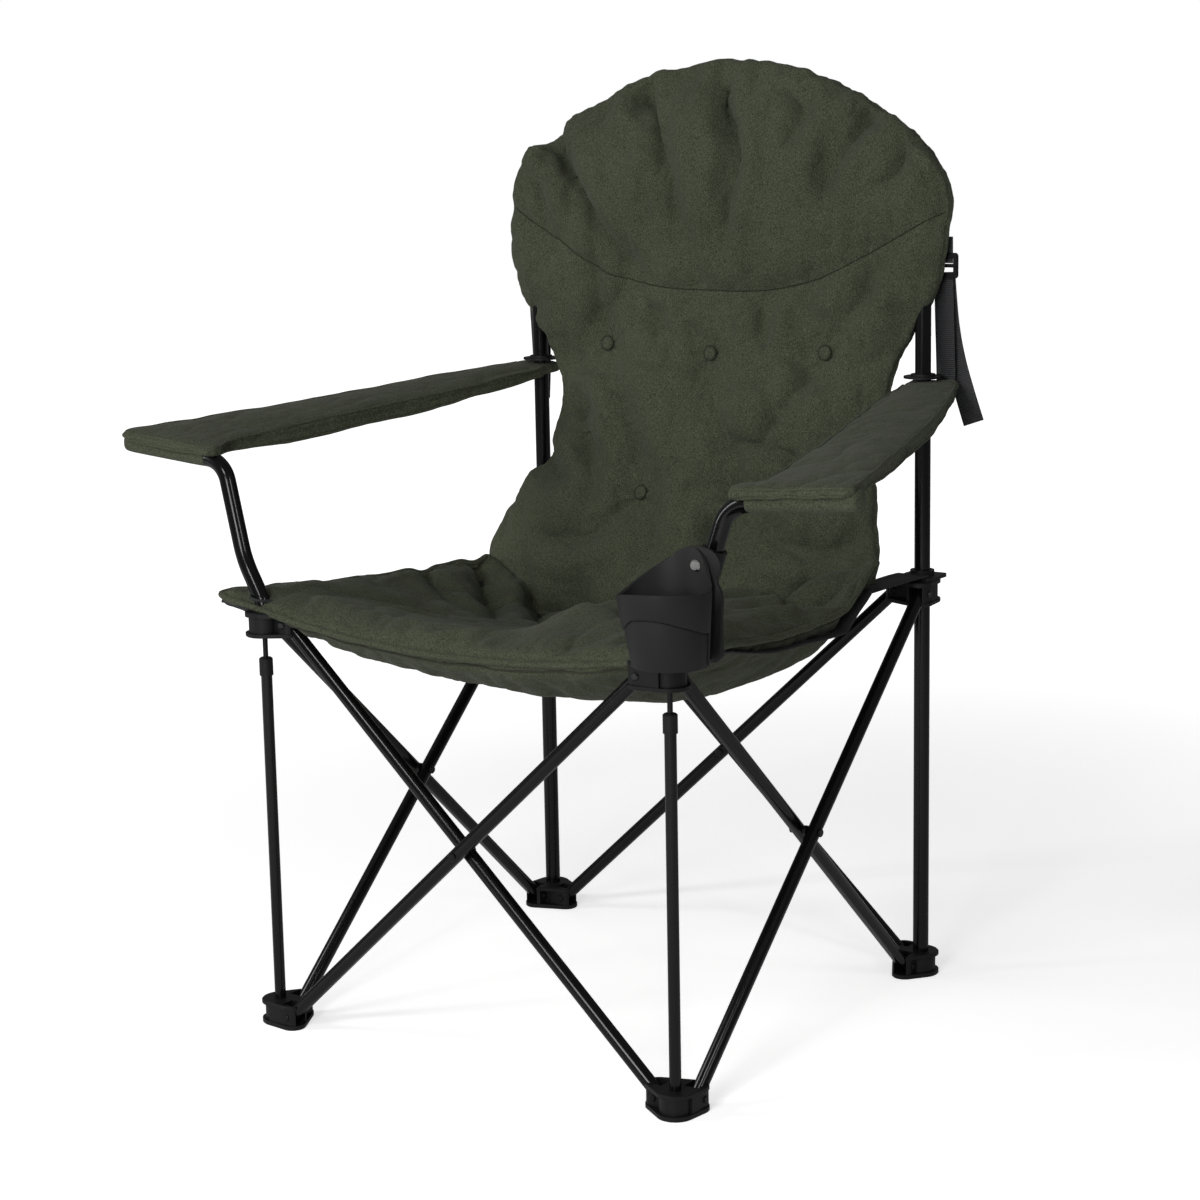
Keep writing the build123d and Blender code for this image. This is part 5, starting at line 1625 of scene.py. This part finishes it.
    def corner_tab(self, side: Side) -> None:
        """The sling's rear corner, which runs out from under the cover and laps over the corner plate."""
        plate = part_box("rear_right_corner_plate")[0]
        lap = plate.z + self.plate_thick + self.tab_lap
        start_y = self.plan[-1][0] - self.tab_in
        under = self.sewn_height(np.array([self.tab_out[0] * side.value]), np.array([start_y]))
        start_z = float(under[0]) - self.tab_under
        spots = (
            (start_y, start_z),
            ((start_y + plate.y) / 2, (start_z + lap) / 2),
            (plate.y - self.tab_under, lap - self.tab_dip),
            (plate.y + self.tab_end, lap),
        )
        line = path_through([(x, *spot) for x, spot in zip(self.tab_out, spots)], self.tab_lines)
        wide = np.linspace(*self.tab_half, len(line))
        offsets = np.linspace(-1, 1, self.tab_columns)
        points = np.stack([line + np.outer(wide, (k, 0, 0)) for k in offsets], axis=1).reshape(-1, 3)
        points *= np.array([side.value, 1, 1])
        obj, area = self.sling_cloth(f"{side.word}_sling_tab", points, (self.tab_lines, self.tab_columns))
        self.gather(obj, "rear")

    def post_slot(self, side: Side) -> None:
        """The bound slot in the front corner flap, where the arm post passes through."""
        start = np.array([MARKS.pole_x + self.slot_out, MARKS.front_y, 0.0])
        way, out = np.array(self.slot_way), np.array(self.slot_side)
        turns = np.linspace(0, np.pi, self.slot_steps)
        bend = [self.slot_half * (math.cos(t) * out - math.sin(t) * way) for t in turns]
        path = np.array([start + b for b in bend] + [start + self.slot_long * way - b for b in bend])
        path[:, 2] = self.sewn_height(path[:, 0], path[:, 1]) + self.slot_rise
        path[:, 0] *= side.value
        obj = tube_along(f"{side.word}_post_slot", path, self.slot_radius, closed=True)
        subdivide(obj, 1)
        dress(obj, PACK_CLOTH.material(), "sling_fabric")
        self.gather(obj, "front")

    def sling(self) -> None:
        """The black sling inside the cover, whose hems show along the sides and run to the corner plates."""
        y_low, y_high = self.plan[0][0] + self.sling_front, self.plan[-1][0] - self.sling_rear
        round_from = y_high - self.sling_round_length
        for half, span in (("front", (y_low, MARKS.fold_y)), ("rear", (MARKS.fold_y, y_high))):
            y = np.linspace(*span, self.sling_lines)
            u = np.linspace(-1, 1, self.sling_columns)
            grid_y, grid_u = np.meshgrid(y, u, indexing="ij")
            width, _, _ = self.edge(grid_u, grid_y)
            rounded = self.sling_round * ramp(grid_y, round_from, self.sling_round_length) ** 2
            x = grid_u * (width + self.sling_out - rounded)
            hem = self.hem_least + self.hem_more * ramp(grid_y, *self.hem_along)
            hem += self.hem_rear * ramp(grid_y, *self.hem_rear_along) * (grid_u > 0)
            z = self.sewn_height(np.clip(x, -width, width), grid_y) - self.sling_gap
            points = np.stack([x, grid_y, z - hem * np.abs(grid_u) ** self.hem_power], axis=-1).reshape(-1, 3)
            flat = (float(x.max() - x.min()) * self.sling_slack, span[1] - span[0])
            obj, area = self.sling_cloth(f"seat_hem_{half}", points, grid_y.shape)
            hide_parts(f"seat_sling_{half}")
            self.gather(obj, half)
            LOG.info("sling %s: %.3f by %.3f m", half, *flat)


@dataclass
class Armrest:
    """A padded armrest: wide over the post's bar, narrow at the pole, with a boxed edge."""

    side: Side
    front_over: float = 0.014
    front_half: float = 0.079
    rear_half: float = 0.031
    front_thick: float = 0.015
    rear_thick: float = 0.013
    pole_gap: float = 0.005
    bar_drop: float = 0.0165
    ring_drop: float = 0.009
    narrow_swing: float = 0.08
    swell_skew: float = 0.8
    bar_over: float = 0.077
    over_bar: float = 0.011
    flare: float = 0.022
    flare_share: float = 0.07
    front_share: float = 0.026
    front_roll: float = 0.0066
    crown: float = -0.0065
    middle_thick: float = 0.010
    middle_out: float = 0.011
    inner_less: float = 0.010
    box_across: float = 0.3
    box_deep: float = 0.4
    # the closed ends: their length, and the shares of the width and the thickness that are left there
    close_length: float = 0.02
    close_wide: float = 0.95
    close_thick: float = 0.45
    seam_end: float = 0.965
    seam_steps: int = 80
    seam_out: float = 0.97
    seam_groove: Flat = (0.0025, 0.004)
    # the welts: shares of the half-thickness and half-width where they run, at the sides and at the front
    welt_deep: float = 0.86
    welt_out: float = 0.985
    welt_front: float = 0.8
    welt_front_out: float = 0.96
    welt_front_deep: float = 0.62
    welt_turns: int = 30
    welt_skip: int = 4
    welt_steps: int = 200
    welt_cord: Flat = (0.0004, 0.0016)
    # the bar's pocket: place, section and the narrowing at its ends
    pocket_ring: int = 32
    pocket_stations: int = 24
    pocket_power: float = 0.8
    pocket_narrow: float = 0.08
    pocket_narrow_power: int = 8
    pocket_front: float = 0.9
    pocket_rear: float = 0.5
    pocket_shift: float = 0.0155
    pocket_half: float = 0.066
    sleeve: float = 0.0114
    bar_radius: float = 0.0095
    keep_folded: float = 0.06
    stations: int = 60
    ring: int = 40
    side_rate: float = 2.0
    side_less: float = 0.8
    coarse_seed: int = 63
    fine_seed: int = 73
    puff: Puff = field(default_factory=lambda: Puff(voxel=0.004, cap=0.003, slack=0.0, stiffness=5.0))

    def section(self, share: np.ndarray) -> dict[str, np.ndarray]:
        """The armrest's sections along its length.

        Args:
            share: Places along it, from the bar at 0 to the pole at 1.

        Returns:
            The middle's x, y and z, the outer edge's roll, the outer and inner half-widths and the thickness.
        """
        low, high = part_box("right_armrest")
        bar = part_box("right_arm_post")[1]
        bend = np.clip(share, 0, 1)
        front_x, rear_x = bar.x - self.bar_over, MARKS.pole_x + self.pole_gap
        front_z = bar.z - self.bar_drop + self.over_bar
        rear_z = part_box("right_arm_ring")[0].z - self.ring_drop
        narrow = bend + self.narrow_swing * np.sin(2 * np.pi * bend)
        swell = np.sin(np.pi * bend**self.swell_skew)
        thick = self.front_thick + (self.rear_thick - self.front_thick) * bend
        half = self.front_half + (self.rear_half - self.front_half) * narrow
        flared = smooth_share(ramp(bend, 0, self.flare_share))
        return {
            "x": front_x + (rear_x - front_x) * share,
            "y": low.y + self.front_over + (high.y - low.y - self.front_over) * share,
            "z": front_z + (rear_z - front_z) * share + self.crown * swell,
            "roll": self.front_roll * (1 - bend),
            "half": half + self.middle_out * swell,
            "inner": half - (self.inner_less + self.flare * flared) * (1 - bend),
            "thick": thick + self.middle_thick * swell,
        }

    def cover(self) -> bpy.types.Object:
        """The empty cover: boxed sections lofted along the middle line."""
        share = np.linspace(-self.front_share, 1.0, self.stations)
        at = self.section(share)
        close = np.sqrt(ramp(np.minimum(share + self.front_share, 1.0 - share), 0, self.close_length))
        wider = self.close_wide + (1 - self.close_wide) * close
        thicker = self.close_thick + (1 - self.close_thick) * close
        turn = full_turn(self.ring)
        across = boxed(np.cos(turn), self.box_across)
        deep = boxed(np.sin(turn), self.box_deep)
        rows = []
        for i in range(self.stations):
            wide = np.where(across > 0, at["half"][i], at["inner"][i])
            x = at["x"][i] + wide * wider[i] * across
            z = at["z"][i] + at["roll"][i] * across + at["thick"][i] / 2 * deep * thicker[i]
            rows.append(np.stack([x * self.side.value, np.full(self.ring, at["y"][i]), z], axis=1))
        return loft(f"{self.side.word}_arm_cover", rows)

    def edge_line(self, across: float, deep: float) -> np.ndarray:
        """A line along the armrest, at shares of its half-width and half-thickness."""
        at = self.section(np.linspace(0.0, self.seam_end, self.seam_steps))
        wide = at["half"] if across > 0 else at["inner"]
        x = (at["x"] + across * wide) * self.side.value
        return np.stack([x, at["y"], at["z"] + across * at["roll"] + deep * at["thick"] / 2], axis=1)

    def welts(self, surface: BVHTree) -> list[bpy.types.Object]:
        """The sewn welts round the top and bottom panels, laid on the finished cover."""
        made = []
        turns = np.linspace(1, -1, self.welt_turns)
        at = self.section(np.array([-self.front_share * self.welt_front]))
        reach = turns * np.where(turns > 0, at["half"], at["inner"]) * self.welt_front_out
        x, y = (at["x"] + reach) * self.side.value, np.full(len(turns), at["y"][0])
        for name, deep in (("upper", self.welt_deep), ("lower", -self.welt_deep)):
            outer, inner = self.edge_line(self.welt_out, deep), self.edge_line(-self.welt_out, deep)
            z = at["z"] + turns * at["roll"] + deep * self.welt_front_deep * at["thick"] / 2
            front = np.stack([x, y, z], axis=1)[1 : -1 : self.welt_skip]
            sides = outer[:: -self.welt_skip], inner[:: self.welt_skip]
            path = path_through(np.concatenate([sides[0], front, sides[1]]), self.welt_steps)
            made.append(trim_on(surface, f"{self.side.word}_arm_welt_{name}", path, self.welt_cord))
        return made

    def pocket(self) -> bpy.types.Object:
        """The sleeve under the pad's front, which the post's bar runs in."""
        low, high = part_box("right_arm_post")
        at = self.section(np.array([0.0]))
        front_y = (low.y + high.y) / 2 + (high.y - low.y) / 2 - self.bar_radius
        turn = full_turn(self.pocket_ring)
        deep = boxed(np.sin(turn), self.pocket_power)
        ahead = np.cos(turn)
        y = front_y + self.sleeve * (self.pocket_front * ahead + self.pocket_rear * (ahead > 0) * ahead)
        rows = []
        for across in np.linspace(-1, 1, self.pocket_stations):
            out = self.pocket_shift + self.pocket_half * across
            x = at["x"] + out
            shrink = 1 - self.pocket_narrow * abs(across) ** self.pocket_narrow_power
            z = high.z - self.bar_drop + at["roll"] * out / at["half"] + self.sleeve * shrink * deep
            rows.append(np.stack([np.full(len(turn), x[0] * self.side.value), y, z], axis=1))
        return loft(f"{self.side.word}_arm_pocket", rows)

    def held(self, obj: bpy.types.Object) -> np.ndarray:
        """How firmly the cloth run holds each point: at the boxed sides."""
        return np.clip(np.abs(get_normals(obj)[:, 0]) * self.side_rate - self.side_less, 0, 1)

    def sculpt(self, obj: bpy.types.Object) -> None:
        """Presses the edge seams and small wrinkles into the filled cover."""
        points = get_points(obj)
        dents = np.zeros(len(points))
        for across in (-self.seam_out, self.seam_out):
            away, _ = distance_to_path(points, self.edge_line(across, 0.0))
            dents -= bell(away, *self.seam_groove)
        press(obj, dents, np.ones(len(points)))
        points = get_points(obj)
        wrinkles = Crumple(0.062, 0.0042, self.coarse_seed + self.side.value, (1.0, 0.7, 1.0)).dent(points)
        wrinkles += Crumple(0.028, 0.0017, self.fine_seed + self.side.value).dent(points)
        press(obj, wrinkles, np.ones(len(points)))

    def build(self) -> None:
        """Makes the armrest, its pocket and its welts, which ride on the front hub of its side."""
        obj = self.cover()
        self.puff.fill(obj, self.held)
        self.sculpt(obj)
        obj.name = f"{self.side.word}_arm_cushion"
        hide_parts(f"{self.side.word}_armrest")
        panel = self.pocket()
        subdivide(panel, 1)
        at = self.section(np.array([0.0, 1.0]))
        for piece in (obj, panel, *self.welts(surface_of(obj))):
            dress(piece, HEATHER.material(), "padded_fabric")
            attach(piece, f"front_{self.side.word}_hub")
            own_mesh(piece)
        LOG.info("%s: %d faces", obj.name, len(obj.data.polygons))


@dataclass
class Strap:
    """The webbing of one side: a run up to the buckle, a free tail and the anchor above it."""

    side: Side
    flare: float = 1.0
    width: float = 0.025
    thick: float = 0.0016
    tail_twist: float = 14.0
    steps: int = 60
    # the tape's section, in shares of its width and thickness
    profile: tuple[Flat, ...] = (
        (-0.5, -0.3), (-0.47, -0.5), (0.47, -0.5), (0.5, -0.3),
        (0.5, 0.3), (0.47, 0.5), (-0.47, 0.5), (-0.5, 0.3),
    )
    # the right strap's middle line, from the armrest up through the buckle and down its tail
    run: tuple[Point, ...] = (
        (0.298, 0.3385, 0.722), (0.298, 0.3378, 0.738), (0.298, 0.3340, 0.800), (0.298, 0.3305, 0.858),
    )
    tail: tuple[Point, ...] = (
        (0.298, 0.3355, 0.860), (0.299, 0.3385, 0.830), (0.301, 0.3420, 0.795),
        (0.308, 0.3445, 0.755), (0.320, 0.3450, 0.715), (0.332, 0.3440, 0.682),
    )
    anchor: tuple[Point, ...] = ((0.298, 0.3295, 0.871), (0.298, 0.3295, 0.886), (0.298, 0.3293, 0.902))

    def tape(self, name: str, points: Sequence[Point], twist: float) -> bpy.types.Object:
        """A flat tape along a path, with rounded edges and its own map.

        Args:
            name: The tape's name.
            points: The path of its middle line, on the right side.
            twist: How far its far end turns, in degrees.

        Returns:
            The tape.
        """
        path = path_through(points, self.steps)
        along = np.gradient(path, axis=0)
        along /= np.linalg.norm(along, axis=1, keepdims=True)
        reach = reach_along(path)
        points3, plan = [], []
        for i, spot in enumerate(path):
            turn = math.radians(twist) * (i / (len(path) - 1)) ** 2
            wide = np.array([math.cos(turn), math.sin(turn), 0.0])
            wide -= along[i] * (wide @ along[i])
            wide /= np.linalg.norm(wide)
            deep = np.cross(along[i], wide)
            for a, b in self.profile:
                points3.append(spot + wide * a * self.width + deep * b * self.thick)
                plan.append((a * self.width, reach[i]))
        rows = np.array(points3) * np.array([self.side.value, 1, 1])
        obj = mesh_object(name, rows, ring_faces(len(path), len(self.profile), closed=False))
        layer = obj.data.uv_layers.new(name="tape")
        for loop in obj.data.loops:
            layer.data[loop.index].uv = plan[loop.vertex_index]
        return obj

    def build(self) -> None:
        """Makes the three tapes of the side."""
        word = self.side.word
        tapes = (("run", self.run, 0.0), ("tail", self.tail, self.tail_twist), ("anchor", self.anchor, 0.0))
        for part, points, twist in tapes:
            straight = points[0][0]
            points = tuple((straight + self.flare * (x - straight), y, z) for x, y, z in points)
            obj = self.tape(f"{word}_strap_{part}", points, twist * self.flare)
            dress(obj, TAPE.material(), "webbing")
            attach(obj, f"rear_{word}_foot")
            length = path_length(path_through(points, self.steps))
            if part == "run":
                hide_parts(f"{word}_strap")


# Studio


@dataclass(frozen=True)
class Softbox:
    """A soft rectangular lamp: where it stands, what it points at, its width and height, and its watts."""

    name: str
    place: Point
    aim: Point
    size: Flat
    power: float

    def build(self) -> None:
        """Puts the lamp into the scene."""
        data = bpy.data.lights.new(self.name, "AREA")
        data.shape = "RECTANGLE"
        data.size, data.size_y = self.size
        data.energy = self.power
        obj = bpy.data.objects.new(self.name, data)
        bpy.context.scene.collection.objects.link(obj)
        obj.location = self.place
        obj.rotation_euler = (Vector(self.aim) - Vector(self.place)).to_track_quat("-Z", "Y").to_euler()


@dataclass
class Studio:
    """The pale floor, the soft lights, the white world and the camera at the photograph's place."""

    place: Point = (1.7546, -2.4611, 1.0703)
    azimuth: float = 35.07
    elevation: float = 10.79
    roll: float = -1.10
    lens: float = 79.16
    sensor: float = 36.0
    floor_colour: str = "f4f4f4"
    floor_roughness: float = 0.9
    floor_half: float = 8.0
    floor_glow: float = 0.58
    white_near: float = 0.8
    white_far: float = 3.0
    world_light: float = 0.17
    lamps: tuple[Softbox, ...] = (
        Softbox("key_softbox", (-2.5, -2.2, 1.9), (0, 0, 0.6), (0.45, 2.2), 42),
        Softbox("front_softbox", (0.85, -3.3, 1.35), (0, 0, 0.5), (1.0, 1.15), 45),
        Softbox("high_softbox", (0.29, -2.68, 2.35), (0, -0.28, 0.25), (0.65, 0.45), 17),
        Softbox("right_softbox", (2.35, -0.89, 1.8), (-0.33, -0.27, 0.6), (0.5, 0.6), 9.4),
    )

    def camera(self) -> None:
        """A camera that looks at the chair as the photograph does."""
        data = bpy.data.cameras.new("camera")
        data.lens = self.lens
        data.sensor_width = self.sensor
        obj = bpy.data.objects.new("camera", data)
        bpy.context.scene.collection.objects.link(obj)
        a, e = math.radians(self.azimuth), math.radians(self.elevation)
        ahead = Vector((-math.sin(a) * math.cos(e), math.cos(a) * math.cos(e), -math.sin(e)))
        level = ahead.to_track_quat("-Z", "Y").to_matrix()
        turned = level @ Matrix.Rotation(math.radians(self.roll), 3, "Z")
        obj.matrix_world = Matrix.Translation(Vector(self.place)) @ turned.to_4x4()
        bpy.context.scene.camera = obj

    def floor(self) -> None:
        """A wide pale floor that keeps the chair's soft shadow and turns white to the camera."""
        h = self.floor_half
        corners = np.array([(-h, -h, 0), (h, -h, 0), (h, h, 0), (-h, h, 0)], float)
        obj = mesh_object("studio_floor", corners, [(0, 1, 2, 3)])
        tree, shader, coords = Finish("pale_studio_floor").start()
        shader.inputs["Base Color"].default_value = linear(self.floor_colour)
        shader.inputs["Roughness"].default_value = self.floor_roughness
        away = add_node(tree, "ShaderNodeVectorMath", {"operation": "LENGTH"}, {0: coords})
        level = add_node(
            tree,
            "ShaderNodeMapRange",
            {"interpolation_type": "SMOOTHSTEP"},
            {
                "Value": away.outputs["Value"],
                "From Min": self.white_near,
                "From Max": self.white_far,
                "To Min": self.floor_glow,
                "To Max": 1.0,
            },
        )
        glow = add_node(tree, "ShaderNodeEmission", {}, {"Strength": level.outputs[0]})
        bright = add_node(tree, "ShaderNodeAddShader", {}, {0: shader.outputs[0], 1: glow.outputs[0]})
        self.seen_white(tree, shader.outputs[0], bright.outputs[0], tree.nodes["Material Output"])
        obj.data.materials.append(bpy.data.materials["pale_studio_floor"])

    def seen_white(
        self,
        tree: bpy.types.NodeTree,
        plain: bpy.types.NodeSocket,
        white: bpy.types.NodeSocket,
        output: bpy.types.Node,
    ) -> None:
        """Shows the white shader to the camera, and the plain one to all other rays."""
        rays = add_node(tree, "ShaderNodeLightPath", {}, {})
        seen = rays.outputs["Is Camera Ray"]
        mixed = add_node(tree, "ShaderNodeMixShader", {}, {0: seen, 1: plain, 2: white})
        tree.links.new(mixed.outputs[0], output.inputs["Surface"])

    def world(self) -> None:
        """A white world to the camera, and an even grey light on the chair."""
        world = bpy.data.worlds.new("white_studio")
        bpy.context.scene.world = world
        world.use_nodes = True
        tree = world.node_tree
        light = tree.nodes["Background"]
        light.inputs["Color"].default_value = (1, 1, 1, 1)
        light.inputs["Strength"].default_value = self.world_light
        white = add_node(tree, "ShaderNodeBackground", {}, {"Color": (1, 1, 1, 1), "Strength": 1.0})
        self.seen_white(tree, light.outputs[0], white.outputs[0], tree.nodes["World Output"])

    def build(self) -> None:
        """Sets up the whole studio."""
        bpy.context.scene.view_settings.view_transform = "Standard"
        self.camera()
        self.floor()
        self.world()
        for lamp in self.lamps:
            lamp.build()


def main() -> None:
    """Builds the chair piece by piece, then the studio."""
    logging.basicConfig(level=logging.INFO, format="%(message)s")
    builders: Iterable[Callable[[], None]] = (
        Studio().build,
        FrameSet().build,
        CupHolder().build,
        BackPad().build,
        SeatPad().build,
        *(Armrest(side).build for side in Side),
        Strap(Side.LEFT, flare=0.1).build,
        Strap(Side.RIGHT).build,
    )
    for make in builders:
        make()
        LOG.info("done: %s", type(make.__self__).__name__)


if __name__ == "__main__":
    main()
